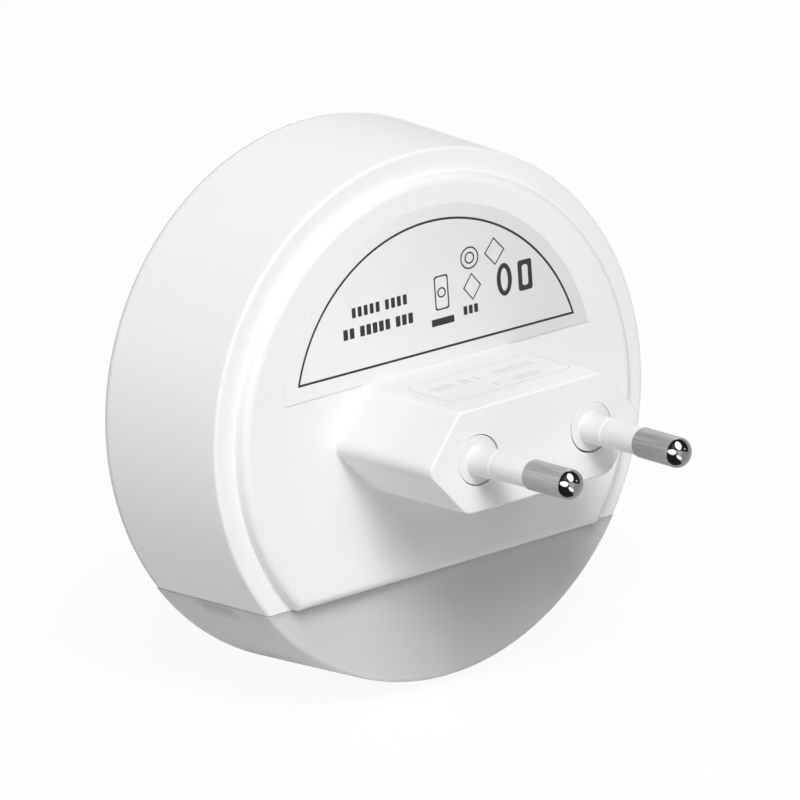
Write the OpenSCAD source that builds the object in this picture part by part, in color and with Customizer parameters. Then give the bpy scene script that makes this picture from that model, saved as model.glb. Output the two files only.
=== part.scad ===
// Plug-in night light with a motion sensor, for a recessed two-pin wall socket.
// Frame: +Z is up, +Y goes into the wall, -Y towards the room.
// The origin is the middle of the plug's face, halfway between the two pins.
// Lengths are in millimetres.

/* [Drum] */
// Outer radius of the drum where the front cover meets it
drum_front_r = 36.4; // [36:0.1:38]
// Outer radius of the drum at its rear band
drum_rear_r = 35.4; // [35:0.1:36]
// Length of the drum wall from the rear band to the front cover
drum_depth = 21.8; // [21:0.1:23]
// Thickness of the moulded walls
wall = 1.8; // [1.5:0.1:2]
// Radius of the raised plate on the rear
plate_r = 32.2; // [32:0.1:33.5]
// Height of the raised plate above the rear band
step_h = 2; // [1.5:0.1:2.2]
// Rounding of the raised plate's edge
plate_edge_r = 1.2; // [0.6:0.1:1.4]
// Rounding of the rear rim
rear_edge_r = 0.5; // [0.4:0.1:1]
// Rounding of the front cover's edge
front_edge_r = 1.2; // [0.8:0.1:1.4]
// Height of the front cover's crown
crown_h = 1.6; // [1:0.1:2]

/* [Plug] */
// Distance from the raised plate to the plug's face
plug_len = 19.6; // [19:0.1:20]
// Width of the plug block across its side points
plug_w = 35.3; // [35:0.1:36]
// Height of the plug block
plug_h = 13.7; // [13.4:0.1:14]
// Width of the plug block's flat top
plug_flat_w = 23.6; // [23:0.1:26.6]
// Amount by which the block's outline grows on each side towards its root
plug_draft = 0.3; // [0.1:0.05:0.4]
// Distance between the pins at the plug's face
pin_spacing = 18.6; // [18.6:0.1:18.8]
// Distance between the pins at their tips
tip_spacing = 17.8; // [17.5:0.1:18.2]
// Length of the pins beyond the plug's face
pin_len = 19.5; // [18.5:0.1:19.5]
// Diameter of the bare part of a pin
pin_d = 4; // [3.94:0.02:4.06]
// Distance from the plug's face to the bare part of a pin
sleeve_len = 10.9; // [10:0.1:11]

/* [Diffuser] */
// Height of the seam between drum and diffuser, below the middle of the drum
chord_drop = 20.5; // [20:0.1:21]
// Amount by which the diffuser stands proud of the drum
diffuser_proud = 0.15; // [0.05:0.05:0.25]
// Thickness of the diffuser's wall
diffuser_wall = 1.5; // [1.2:0.1:1.7]

/* [Motion sensor] */
// Radius of the domed lens
lens_r = 11.4; // [10.5:0.1:11.5]
// Height of the lens's dome
lens_dome_h = 7; // [5:0.5:9]
// Height of the light sensor above the middle of the front
light_sensor_z = 24; // [23:0.5:26]

/* [Mode switch] */
// Travel of the slider each way from its middle position
switch_travel = 2; // [1.5:0.1:2]
// Width of the slider along the drum's axis
knob_w = 3; // [2.6:0.1:3]
// Length of the slider along its travel
knob_l = 3.2; // [2.8:0.1:3.2]

/* [Light source] */
// Number of light-emitting diodes in a row
led_columns = 6; // [4:1:6]
// Distance between the diodes of a row
led_pitch = 5.8; // [5:0.1:5.8]

/* [Hidden] */

eps = 0.01;
reach = 60;
round_fn = 96;
small_fn = 32;
seam_gap = 0.08;
pilot_r = 1.1;
small_pilot_r = 0.9;

// Levels along Y, from the plug's face towards the room
plate_y = -plug_len;
band_y = plate_y - step_h;
edge_y = band_y - drum_depth;
cover_y = edge_y - seam_gap;
face_y = cover_y - front_edge_r;
chord_z = -chord_drop;

// Plug block
plug_side_r = 1.6;
plug_top_r = 0.9;
plug_bottom_r = 2.3;
plug_edge_r = 0.4;
plug_wall = 1.7;
plug_face_t = 2.2;
collar_r = 3.25;
collar_gap = 0.13;
flange_r = 4.3;
flange_t = 1.2;
retainer_t = 2;
pin_tilt = asin((pin_spacing - tip_spacing) / 2 / pin_len);
pin_dome_h = 1.4;
core_r = 1.35;
core_play = 0.02;
tail_len = 9.5;
cup_depth = 2.5;
cup_r = 0.75;
stub_r = 1.88;
stub_draft = 0.04;
root_r = 2.06;
root_draft = 0.08;
root_len = 3.9;
retainer_y = -plug_face_t - flange_t;
retainer_r = 4.35;
retainer_half_h = 4.2;
centre_boss_r = 2.6;
wire_r = 0.6;
led_wire_r = 0.5;

// Tongues, bosses and snap tabs at the seam
tongue_r = [33, 34.3];
tongue_y = [-36, -29];
tongue_z = [-22.7, chord_z + 1.5];
tray_boss_half_w = 2.3;
tray_boss_h = 4;
tray_boss_y = [-30, band_y - 0.4];
tab_x = 14;
tab_half_w = 3;
tab_t = 0.9;
tab_root_h = 3.5;
tab_len = 4;
rear_tab_y = band_y - wall - 0.2;
front_tab_y = edge_y + 1.9;

// Front cover and lens
spigot_r = drum_front_r - wall - 0.25;
spigot_t = 1.25;
spigot_len = 2;
crown_r = drum_front_r - front_edge_r;
lens_hole_r = lens_r + 0.2;
bezel_r = lens_r + 2;
bezel_h = 0.6;
lens_wall = 0.8;
lens_flange_r = 13.6;
lens_flange_t = 0.7;
lens_seat_y = face_y - crown_h + wall + 0.25;
lens_screw_r = 17;
lens_screw_angles = [90, 210, 330];
lug_r = 2.4;
lug_bridge_half_w = 1.9;
ring_y = lens_seat_y + lens_flange_t;
ring_t = 1.2;
ring_r = 14.6;
ring_hole_r = 10.8;
pipe_r = 1.6;
pipe_flange_r = 2.4;

// Driver board
board_t = 1.6;
board_r = 32;
board_rear_y = band_y - 11.4;
board_front_y = board_rear_y - board_t;
board_chord_z = -14.5;
post_r = 2.8;
post_places = [[22, 16], [-22, 16], [21, -10], [-21, -10]];
leg_r = 0.22;
leg_hole_r = 0.4;
leg_angles = [90, 210, 330];
leg_circle_r = 2.54;
can_r = 4.2;
can_rim_r = 4.7;
can_rim_t = 0.6;
can_h = 4.1;
can_y = board_front_y - 3;
window_size = [3.4, 3];
window_depth = 0.5;

// Light source
tray_top_z = chord_z + 1.7;
tray_t = 1.5;
tray_x = 25.6;
tray_y = [-41.2, -25];
window_x = 17;
window_y = [-38, -28];
led_y = -33;
led_board_t = 1.2;
led_board_x = 21;
led_board_half_y = 6.5;
led_size = [3.5, 2.8, 0.7];
led_row_y = 2.4;
led_dish = [1.1, 0.15];
led_screw_x = 19;
tray_screw = [23.75, -27];

// Mode switch
switch_y = board_rear_y + 2.7;
switch_body_x = [-32.9, -27.9];
switch_body_z = 6.2;
switch_body_top = 2.7;
play = 0.3;
slot_y = knob_w / 2 + play;
slot_z = knob_l / 2 + switch_travel + play;
pocket_x = -34.9;
pocket_rim = [0.9, 1.4];
knob_x = [-36.9, -30];
foot_x = [-31.4, -29.4];
foot_lip = 0.5;
foot_z = 2.8;
groove_pitch = 0.9;
groove_w = 0.4;
groove_depth = 0.3;
terminal_z = [-4.5, -1.5, 1.5, 4.5];
terminal_x = -30.4;
terminal_r = 0.3;

// Routes of the wires: round numbers, from pin or board to board
live_route = [[9.45, -7.1, 0], [9.5, -10, 0], [9.6, -14, 0.3], [10, -18, 1], [10.5, -22, 2],
    [11, -26, 2.8], [11, -30, 3], [11, -33, 3]];
neutral_route = [[-9.45, -7.1, 0], [-9.5, -10, 0], [-9.6, -14, 0.5], [-9.8, -18, 1.5], [-10, -22, 3],
    [-10, -26, 4.4], [-10, -30, 5], [-10, -33, 5]];
red_route = [[-5, -33, -12], [-5, -31.4, -12], [-5.4, -30, -12.6], [-6.5, -29.2, -14],
    [-8, -29.4, -15.2], [-9, -30, -16.2], [-9, -30, -16.9], [-9, -30, -17.5]];
black_route = [[5, -33, -12], [5, -31.4, -12], [5.4, -30, -12.6], [6.5, -29.2, -14],
    [8, -29.4, -15.2], [9, -30, -16.2], [9, -30, -16.9], [9, -30, -17.5]];

// ---- Helpers ----

// Points on an arc about c, from angle a0 to a1
function arc(c, r, a0, a1, n = 8) =
    [for (i = [0:n]) let(a = a0 + (a1 - a0) * i / n) c + r * [cos(a), sin(a)]];

// Points on a quarter of an ellipse about [0, y0], from its rim to its top, towards -Y if ry is positive
function dome(rx, ry, y0, n = 14) =
    [for (i = [0:n]) let(a = 90 * i / n) [rx * cos(a), y0 - ry * sin(a)]];

function unit(v) = v / norm(v);

// Arc that rounds corner b of a counter-clockwise outline a, b, c
function corner(a, b, c, r, n) =
    let(u = unit(a - b), v = unit(c - b), half = acos(u * v) / 2,
        o = b + unit(u + v) * r / sin(half), s = b + u * r / tan(half) - o,
        a0 = atan2(s[1], s[0]))
    arc(o, r, a0, a0 + 180 - 2 * half, n);

// Outline with every corner rounded by its own radius
function rounded(points, radii, n = 5) =
    let(m = len(points))
    [for (i = [0:m - 1]) each corner(points[(i + m - 1) % m], points[i], points[(i + 1) % m], radii[i], n)];

// Outline of the plug block, moved inwards by inset (outwards where it is negative)
function plug_outline(inset) =
    let(slope = norm([plug_w - plug_flat_w, plug_h]),
        side = inset * slope / plug_h,
        flat = inset * (slope - plug_w + plug_flat_w) / plug_h,
        w = plug_w / 2 - side, f = plug_flat_w / 2 - flat, h = plug_h / 2 - inset)
    rounded([[w, 0], [f, h], [-f, h], [-w, 0], [-f, -h], [f, -h]],
        [for (r = [plug_side_r, plug_top_r, plug_top_r, plug_side_r, plug_bottom_r, plug_bottom_r])
            max(0.4, r - inset)]);

// Level of the front cover's crowned face at radius r
function crown_y(r) = face_y - crown_h * (1 - pow(r / crown_r, 2));

// Points along the crown from radius a to radius b, moved by shift along Y
function crown(a, b, shift, n = 6) =
    [for (i = [0:n]) let(r = a + (b - a) * i / n) [r, crown_y(r) + shift]];

// Turns an outline of [radius, y] points about the Y axis
module lathe(points, fn = round_fn) rotate([-90, 0, 0]) rotate_extrude($fn = fn) polygon(points);

// Extrudes an outline of [x, z] points from level y1 down to level y0
module slab(points, y0, y1) translate([0, y1, 0]) rotate([90, 0, 0]) linear_extrude(y1 - y0) polygon(points);

// Round bar along Y at [x, z]
module bar_y(place, r, y0, y1, fn = small_fn)
    translate([place[0], y0, place[1]]) rotate([-90, 0, 0]) cylinder(h = y1 - y0, r = r, $fn = fn);

// Round bar along Z at [x, y]
module bar_z(place, r, z0, z1, fn = small_fn)
    translate([place[0], place[1], z0]) cylinder(h = z1 - z0, r = r, $fn = fn);

// Block between two corners
module block(low, high) translate(low) cube(high - low);

// Everything below a level z
module below(z) block([-reach, -reach, -reach], [reach, reach, z]);

// Everything from a level z upwards
module above(z) block([-reach, -reach, z], [reach, reach, reach]);

// Screw with a domed, cross-slotted head: head towards -Y, shank from y0 to y1
module screw_y(place, head_r, head_t, shank_r, y0, y1) {
    difference() {
        bar_y(place, head_r, y0 - head_t, y0);
        for (turn = [0, 90])
            translate([place[0], y0 - head_t, place[1]]) rotate([0, turn, 0])
                cube([head_r * 1.3, head_t, head_r * 0.28], center = true);
    }
    bar_y(place, shank_r, y0, y1);
}

// The same screw standing along Z, head up at z1 and shank down to z0
module screw_z(place, head_r, head_t, shank_r, z0, z1) {
    difference() {
        bar_z(place, head_r, z1, z1 + head_t);
        for (turn = [0, 90])
            translate([place[0], place[1], z1 + head_t]) rotate([0, 0, turn])
                cube([head_r * 1.3, head_r * 0.28, head_t], center = true);
    }
    bar_z(place, shank_r, z0, z1);
}

// Smooth points through a route: each stretch is a cubic between two of its points
function route_curve(p, steps = 3) =
    let(m = len(p) - 1)
    [for (i = [0:m]) for (k = [0:(i < m ? steps - 1 : 0)])
        let(t = k / steps, a = p[max(i - 1, 0)], b = p[i], c = p[min(i + 1, m)], d = p[min(i + 2, m)])
        0.5 * (2 * b + (c - a) * t + (2 * a - 5 * b + 4 * c - d) * t * t
            + (3 * b - a - 3 * c + d) * t * t * t)];

// Tube of radius r swept along a route, as one closed solid with flat ends
module wire(route, r = wire_r, sides = 8) {
    p = route_curve(route);
    m = len(p);
    rings = [for (i = [0:m - 1])
        let(t = unit(p[min(i + 1, m - 1)] - p[max(i - 1, 0)]), u = unit(cross(t, [1, 0, 0])), v = cross(t, u))
        for (k = [0:sides - 1]) p[i] + r * (cos(360 * k / sides) * u + sin(360 * k / sides) * v)];
    walls = [for (i = [0:m - 2]) for (k = [0:sides - 1])
        let(n = (k + 1) % sides, a = i * sides + k, b = a + sides, c = i * sides + n, d = c + sides)
        each [[a, b, d], [a, d, c]]];
    start = [for (k = [0:sides - 1]) k];
    end = [for (k = [sides - 1:-1:0]) (m - 1) * sides + k];
    polyhedron(points = rings, faces = concat(walls, [start, end]), convexity = 4);
}

// ---- Casing ----

cup_profile = concat(
    [[0, plate_y]],
    arc([plate_r - plate_edge_r, plate_y - plate_edge_r], plate_edge_r, 90, 0),
    [[plate_r + 0.1, band_y]],
    arc([drum_rear_r - rear_edge_r, band_y - rear_edge_r], rear_edge_r, 90, 0),
    [[drum_front_r, edge_y], [drum_front_r - wall, edge_y],
        [drum_rear_r - wall, band_y - wall], [plate_r - wall, band_y - wall],
        [plate_r - wall, plate_y - wall], [0, plate_y - wall]]);

module plug_block()
    hull() {
        slab(plug_outline(-plug_draft), plate_y - wall / 2, plate_y - wall / 2 + eps);
        slab(plug_outline(0), -plug_edge_r, -plug_edge_r + eps);
        slab(plug_outline(plug_edge_r * 0.3), -plug_edge_r * 0.3, -plug_edge_r * 0.3 + eps);
        slab(plug_outline(plug_edge_r), -eps, 0);
    }

// Ring segments of the drum wall that reach down inside the diffuser
module tongues()
    intersection() {
        lathe([[tongue_r[0], tongue_y[0]], [tongue_r[1], tongue_y[0]],
            [tongue_r[1], tongue_y[1]], [tongue_r[0], tongue_y[1]]]);
        block([-reach, tongue_y[0], tongue_z[0]], [reach, tongue_y[1], tongue_z[1]]);
    }

// Blocks under the band that the tray's screws go into
module tray_bosses()
    for (s = [-1, 1])
        block([s * tray_screw[0] - tray_boss_half_w, tray_boss_y[0], tray_top_z],
            [s * tray_screw[0] + tray_boss_half_w, tray_boss_y[1], tray_top_z + tray_boss_h]);

// Slot for the slider, in the floor of a shallow pocket in the drum's side
module switch_opening() {
    block([-reach, switch_y - slot_y - pocket_rim[0], -slot_z - pocket_rim[1]],
        [pocket_x, switch_y + slot_y + pocket_rim[0], slot_z + pocket_rim[1]]);
    block([-reach, switch_y - slot_y, -slot_z], [switch_body_x[0] - 0.1, switch_y + slot_y, slot_z]);
}

module rear_housing() color("whitesmoke") {
    difference() {
        union() {
            difference() {
                union() {
                    difference() {
                        lathe(cup_profile);
                        below(chord_z + seam_gap / 2);
                    }
                    plug_block();
                }
                slab(plug_outline(plug_wall), plate_y - wall - 1, -plug_face_t);
            }
            bar_y([0, 0], centre_boss_r, retainer_y, -plug_face_t + eps);
            for (place = post_places) bar_y(place, post_r, board_rear_y, plate_y - wall / 2);
            tray_bosses();
            tongues();
        }
        for (s = [-1, 1])
            bar_y([s * pin_spacing / 2, 0], collar_r + collar_gap, -plug_face_t - 1, 1, round_fn);
        bar_y([0, 0], pilot_r, -plug_face_t - 2, -1);
        for (place = post_places) bar_y(place, pilot_r, board_rear_y - 1, board_rear_y + 8);
        for (s = [-1, 1])
            bar_z([s * tray_screw[0], tray_screw[1]], small_pilot_r, tray_top_z - 1, tray_top_z + 3.5);
        switch_opening();
    }
}

cover_profile = concat(
    arc([crown_r, cover_y], front_edge_r, 0, -90),
    crown(crown_r - 2, bezel_r, 0),
    [[bezel_r, crown_y(bezel_r) - bezel_h], [lens_hole_r, crown_y(bezel_r) - bezel_h]],
    crown(lens_hole_r, spigot_r - spigot_t, wall),
    [[spigot_r - spigot_t, cover_y + spigot_len], [spigot_r, cover_y + spigot_len], [spigot_r, cover_y]]);

function lens_screw_place(a) = lens_screw_r * [cos(a), sin(a)];

module front_cover() color("whitesmoke") {
    difference() {
        union() {
            difference() {
                lathe(cover_profile);
                below(chord_z + seam_gap / 2);
            }
            for (a = lens_screw_angles)
                bar_y(lens_screw_place(a), lug_r, crown_y(lens_screw_r) + wall / 2, ring_y);
        }
        for (a = lens_screw_angles)
            bar_y(lens_screw_place(a), small_pilot_r, lens_seat_y - 0.6, lens_seat_y + 2);
        bar_y([0, light_sensor_z], pipe_r + 0.1, face_y - 5, cover_y + 3);
    }
}

// Closed outline of the diffuser's wall, all the way round; only the part below the seam is kept
diffuser_r = drum_front_r + diffuser_proud;
diffuser_rear_r = drum_rear_r + diffuser_proud;
diffuser_profile = concat(
    [[0, band_y]],
    arc([diffuser_rear_r - rear_edge_r, band_y - rear_edge_r], rear_edge_r, 90, 0),
    arc([crown_r, cover_y], front_edge_r + diffuser_proud, 0, -90),
    crown(crown_r - 2, 0, -diffuser_proud),
    crown(0, crown_r - 2, diffuser_wall),
    [[diffuser_r - diffuser_wall, cover_y + 1.2], [diffuser_rear_r - diffuser_wall, band_y - diffuser_wall],
        [0, band_y - diffuser_wall]]);

// A pair of snap tabs: roots between two levels on the diffuser, and blades that reach up past the seam
module tab_pair(root_y, blade_y)
    for (s = [-1, 1]) {
        block([s * tab_x - tab_half_w, root_y[0], chord_z - tab_root_h],
            [s * tab_x + tab_half_w, root_y[1], chord_z - seam_gap]);
        block([s * tab_x - tab_half_w, blade_y[0], chord_z - 1],
            [s * tab_x + tab_half_w, blade_y[1], chord_z + tab_len]);
    }

// The tabs hold behind the band and behind the front cover
module diffuser_tabs() {
    tab_pair([rear_tab_y - tab_t, band_y - 1.3], [rear_tab_y - tab_t, rear_tab_y]);
    tab_pair([cover_y - 0.4, front_tab_y], [front_tab_y - tab_t, front_tab_y]);
}

module diffuser() color([0.86, 0.87, 0.88]) {
    difference() {
        lathe(diffuser_profile);
        above(chord_z - seam_gap / 2);
    }
    diffuser_tabs();
}

// Sticker on the raised plate: a round outline cut off flat above the plug
label_r = 25.6;
label_centre_z = 2.8;
label_low_z = 7.25;
label_half = asin((label_low_z - label_centre_z) / label_r);

module rating_label() color("gainsboro")
    slab(arc([0, label_centre_z], label_r, label_half, 180 - label_half, 48), plate_y, plate_y + 0.1);

// ---- Plug ----

// One contact pin along +Y: a cup for the wire, thin core, bare part and domed end
pin_dome_y = pin_len - pin_dome_h;
pin_profile = concat(
    [[0, -tail_len + cup_depth], [cup_r, -tail_len + cup_depth], [cup_r, -tail_len],
        [core_r, -tail_len], [core_r, sleeve_len], [pin_d / 2, sleeve_len]],
    dome(pin_d / 2, -pin_dome_h, pin_dome_y));

module on_pin(side) translate([side * pin_spacing / 2, 0, 0]) rotate([0, 0, side * pin_tilt]) children();

module pin(side) color("silver") on_pin(side) lathe(pin_profile, 64);

module pin_left() pin(1);
module pin_right() pin(-1);

// Insulating sleeve: collar and flange square to the plug's face, the rest leaning with the pin
stub_profile = [[0, -1], [root_r, -1], [root_r - root_draft, root_len], [stub_r, root_len + 0.35],
    [stub_r - stub_draft, sleeve_len], [0, sleeve_len]];

module sleeve(side) color("white")
    difference() {
        union() {
            bar_y([side * pin_spacing / 2, 0], collar_r, retainer_y, 0, round_fn);
            bar_y([side * pin_spacing / 2, 0], flange_r, retainer_y, -plug_face_t, round_fn);
            on_pin(side) lathe(stub_profile, 64);
        }
        on_pin(side) bar_y([0, 0], core_r + core_play, -6, sleeve_len + 1, 64);
    }

module sleeve_left() sleeve(1);
module sleeve_right() sleeve(-1);

// Plate behind both flanges, with a hole for each pin's core and one for its screw
module pin_retainer() color("lightgray")
    difference() {
        union() {
            block([-pin_spacing / 2, retainer_y - retainer_t, -retainer_half_h],
                [pin_spacing / 2, retainer_y, retainer_half_h]);
            for (s = [-1, 1])
                bar_y([s * pin_spacing / 2, 0], retainer_r, retainer_y - retainer_t, retainer_y, round_fn);
        }
        for (s = [-1, 1])
            bar_y([s * pin_spacing / 2, 0], core_r + 0.55, retainer_y - retainer_t - 1, retainer_y + 1);
        bar_y([0, 0], pilot_r + 0.2, retainer_y - retainer_t - 1, retainer_y + 1);
    }

module retainer_screw() color("silver")
    screw_y([0, 0], head_r = 2, head_t = 1.4, shank_r = 1.05, y0 = retainer_y - retainer_t, y1 = -1.2);

// ---- Motion and light sensors ----

lens_dome_y = crown_y(bezel_r) - bezel_h - 0.2;

// The dome's outline runs down outside and back up inside, so the inner points go in reverse
function reversed(p) = [for (i = [len(p) - 1:-1:0]) p[i]];

module pir_lens() color("ivory")
    lathe(concat(
        [[lens_flange_r, ring_y], [lens_flange_r, lens_seat_y], [lens_r, lens_seat_y]],
        dome(lens_r, lens_dome_h, lens_dome_y),
        reversed(dome(lens_r - lens_wall, lens_dome_h - lens_wall, lens_dome_y)),
        [[lens_r - lens_wall, ring_y]]));

// Ring that clamps the lens, with a lug for each screw
module lens_retainer() color("lightgray")
    difference() {
        union() {
            bar_y([0, 0], ring_r, ring_y, ring_y + ring_t, round_fn);
            for (a = lens_screw_angles) {
                bar_y(lens_screw_place(a), lug_r, ring_y, ring_y + ring_t);
                rotate([0, -a, 0])
                    block([(ring_r + ring_hole_r) / 2, ring_y, -lug_bridge_half_w],
                        [lens_screw_r, ring_y + ring_t, lug_bridge_half_w]);
            }
        }
        bar_y([0, 0], ring_hole_r, ring_y - 1, ring_y + ring_t + 1, round_fn);
        for (a = lens_screw_angles) bar_y(lens_screw_place(a), 1, ring_y - 1, ring_y + ring_t + 1);
    }

// Screws from inside the drum: heads towards +Y, shanks into the cover's bosses
module lens_screws() color("silver")
    for (a = lens_screw_angles)
        translate([0, ring_y + ring_t, 0]) mirror([0, 1, 0])
            screw_y(lens_screw_place(a), head_r = 1.7, head_t = 0.9, shank_r = 0.85,
                y0 = 0, y1 = ring_t + 1.2);

// Metal can with a rim, and a window in its end
module pir_sensor() color("silver")
    difference() {
        union() {
            bar_y([0, 0], can_rim_r, can_y - can_rim_t, can_y, round_fn);
            bar_y([0, 0], can_r, can_y - can_h, can_y, round_fn);
        }
        block([-window_size[0] / 2, can_y - can_h - 1, -window_size[1] / 2],
            [window_size[0] / 2, can_y - can_h + window_depth, window_size[1] / 2]);
    }

// Filter set just under the can's end, with a little play round it
module pir_window() color("dimgray") {
    half = window_size / 2 - [0.05, 0.05];
    block([-half[0], can_y - can_h + 0.1, -half[1]], [half[0], can_y - can_h + window_depth, half[1]]);
}

function leg_place(a) = leg_circle_r * [cos(a), sin(a)];

module pir_legs() color("gold")
    for (a = leg_angles) bar_y(leg_place(a), leg_r, can_y, board_rear_y + 0.8, 16);

module sensor_spacer() color("black")
    difference() {
        bar_y([0, 0], can_rim_r - 0.1, can_y, board_front_y, round_fn);
        for (a = leg_angles) bar_y(leg_place(a), leg_hole_r, can_y - 1, board_front_y + 1, 16);
    }

// Clear lamp-shaped sensor with a collar at its foot
sensor_r = 1.5;
sensor_collar = [1.7, 0.8];

module light_sensor() color("lightcyan")
    translate([0, 0, light_sensor_z])
        lathe(concat([[0, board_front_y], [sensor_collar[0], board_front_y],
                [sensor_collar[0], board_front_y - sensor_collar[1]],
                [sensor_r, board_front_y - sensor_collar[1]]],
            dome(sensor_r, sensor_r, board_front_y - 2.8, 6)), small_fn);

pipe_seat_y = crown_y(light_sensor_z + pipe_flange_r) + wall + 0.05;

module light_pipe() color("lightcyan")
    translate([0, 0, light_sensor_z])
        lathe([[0, board_front_y - 4.8], [pipe_r, board_front_y - 4.8], [pipe_r, pipe_seat_y + 0.9],
            [pipe_flange_r, pipe_seat_y + 0.9], [pipe_flange_r, pipe_seat_y], [pipe_r, pipe_seat_y],
            [pipe_r, crown_y(light_sensor_z) - 0.1], [pipe_r - 0.3, crown_y(light_sensor_z) - 0.3],
            [0, crown_y(light_sensor_z) - 0.4]], small_fn);

// ---- Driver board ----

module driver_board() color("seagreen")
    difference() {
        bar_y([0, 0], board_r, board_front_y, board_rear_y, round_fn);
        below(board_chord_z);
        for (place = post_places) bar_y(place, pilot_r + 0.2, board_front_y - 1, board_rear_y + 1);
        for (a = leg_angles) bar_y(leg_place(a), leg_hole_r, board_front_y - 1, board_rear_y + 1, 16);
        for (z = terminal_z)
            bar_y([terminal_x, z], terminal_r + 0.12, board_front_y - 1, board_rear_y + 1, 16);
    }

module board_screws() color("silver")
    for (place = post_places)
        screw_y(place, head_r = 2.2, head_t = 1.3, shank_r = 1.05, y0 = board_front_y, y1 = board_rear_y + 7);

// Box on the rear side of the board: middle [x, z], size [x, z], height
module on_rear(place, size, h)
    block([place[0] - size[0] / 2, board_rear_y, place[1] - size[1] / 2],
        [place[0] + size[0] / 2, board_rear_y + h, place[1] + size[1] / 2]);

// Box on the front side of the board
module on_front(place, size, h)
    block([place[0] - size[0] / 2, board_front_y - h, place[1] - size[1] / 2],
        [place[0] + size[0] / 2, board_front_y, place[1] + size[1] / 2]);

module film_capacitor() color("goldenrod") on_rear([11, 11.5], [13, 6], 10);

// Can lying along X, with its rubber end and a rolled groove
module electrolytic_capacitor() color("midnightblue")
    translate([-15.5, board_rear_y + 4.1, 13]) rotate([0, 90, 0])
        rotate_extrude($fn = round_fn)
            polygon([[0, 0], [3.5, 0], [4, 0.5], [4, 9], [3.6, 9.5],
                [4, 10], [4, 11], [3.4, 11.5], [0, 11.5]]);

// Bobbin with a winding between its two flanges
module inductor() color("saddlebrown")
    translate([14, 0, -5])
        lathe([for (p = [[0, 0], [3.5, 0], [3.5, 1], [3.1, 1.2], [3.1, 6.8], [3.5, 7], [3.5, 8], [0, 8]])
            [p[0], board_rear_y + p[1]]], 48);

module varistor() color("royalblue")
    translate([18.5, board_rear_y + 4.3, 2.5]) rotate([0, 90, 0])
        rotate_extrude($fn = 48) polygon(concat([[0, 0]], arc([2.9, 0.8], 0.8, -90, 0, 4),
            arc([2.9, 2.2], 0.8, 0, 90, 4), [[0, 3]]));

module fuse_resistor() color("darkkhaki")
    translate([-17, board_rear_y + 1.9, -4]) rotate_extrude($fn = small_fn)
        polygon([[0, 0], [1.5, 0], [1.75, 0.4], [1.75, 1.8], [1.45, 2.3],
            [1.45, 6.7], [1.75, 7.2], [1.75, 8.6], [1.5, 9], [0, 9]]);

// Moulded chip with rows of legs along its two long sides
module chip(place, body, h, legs, pitch, front) {
    level = front ? board_front_y : board_rear_y;
    s = front ? -1 : 1;
    low = s > 0 ? level + 0.1 : level - h;
    block([place[0] - body[0] / 2, low, place[1] - body[1] / 2],
        [place[0] + body[0] / 2, low + h - 0.1, place[1] + body[1] / 2]);
    for (i = [0:legs - 1]) for (side = [-1, 1]) {
        x = place[0] + (i - (legs - 1) / 2) * pitch;
        z = place[1] + side * (body[1] / 2 + 0.5);
        leg_low = s > 0 ? level : level - 0.9;
        block([x - 0.2, leg_low, z - 0.5 - eps], [x + 0.2, leg_low + 0.9, z + 0.5]);
    }
}

module bridge_rectifier() color("black")
    chip(place = [2, 5], body = [4.7, 3.9], h = 2.5, legs = 2, pitch = 2.5, front = false);

module driver_chip() color("black")
    chip(place = [-5, -6.5], body = [4.9, 3.9], h = 1.5, legs = 4, pitch = 1.27, front = false);

module controller_chip() color("black")
    chip(place = [0, -9.5], body = [9.9, 3.9], h = 1.6, legs = 8, pitch = 1.27, front = true);

// Chip resistors and capacitors: middles on the rear side, then on the front side
rear_small = [[-4, 3], [-10, -1], [-11, -5], [4, -3], [8, -2.5], [4, -6.5], [0.5, -9], [-12, 8.5]];
front_small = [[-9, -9], [9, -9], [-9, -5], [9, -5], [-10, 4], [10, 4], [-4, 12], [4, 12]];

module small_parts() color("tan") {
    for (place = rear_small) on_rear(place, [3.2, 1.6], 0.6);
    for (place = front_small) on_front(place, [2, 1.25], 0.6);
}

// ---- Light source ----

tray_low_z = tray_top_z - tray_t;

module led_tray() color("white")
    difference() {
        block([-tray_x, tray_y[0], tray_low_z], [tray_x, tray_y[1], tray_top_z]);
        block([-window_x, window_y[0], tray_low_z - 1], [window_x, window_y[1], tray_top_z + 1]);
        for (s = [-1, 1]) {
            bar_z([s * tray_screw[0], tray_screw[1]], pilot_r, tray_low_z - 1, tray_top_z + 1);
            bar_z([s * led_screw_x, led_y], small_pilot_r, tray_low_z - 1, tray_top_z + 1);
        }
    }

// Heads under the tray, shanks up into the bosses of the housing
module tray_screws() color("silver")
    for (s = [-1, 1])
        translate([0, 0, tray_low_z]) mirror([0, 0, 1])
            screw_z([s * tray_screw[0], tray_screw[1]], head_r = 1.9, head_t = 1.2, shank_r = 0.85,
                z0 = -tray_t - 3, z1 = 0);

module led_board() color("white")
    difference() {
        block([-led_board_x, led_y - led_board_half_y, tray_top_z],
            [led_board_x, led_y + led_board_half_y, tray_top_z + led_board_t]);
        for (s = [-1, 1]) bar_z([s * led_screw_x, led_y], pilot_r, tray_top_z - 1, tray_top_z + 3);
    }

module led_screws() color("silver")
    for (s = [-1, 1])
        screw_z([s * led_screw_x, led_y], head_r = 1.7, head_t = 1.1, shank_r = 0.85,
            z0 = tray_top_z - 1.4, z1 = tray_top_z + led_board_t);

module leds() color("lightyellow")
    for (i = [0:led_columns - 1]) for (row = [-1, 1])
        translate([(i - (led_columns - 1) / 2) * led_pitch, led_y + row * led_row_y, tray_top_z])
            difference() {
                block([-led_size[0] / 2, -led_size[1] / 2, -led_size[2]],
                    [led_size[0] / 2, led_size[1] / 2, 0]);
                bar_z([0, 0], led_dish[0], -led_size[2] - 1, -led_size[2] + led_dish[1], 24);
            }

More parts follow.
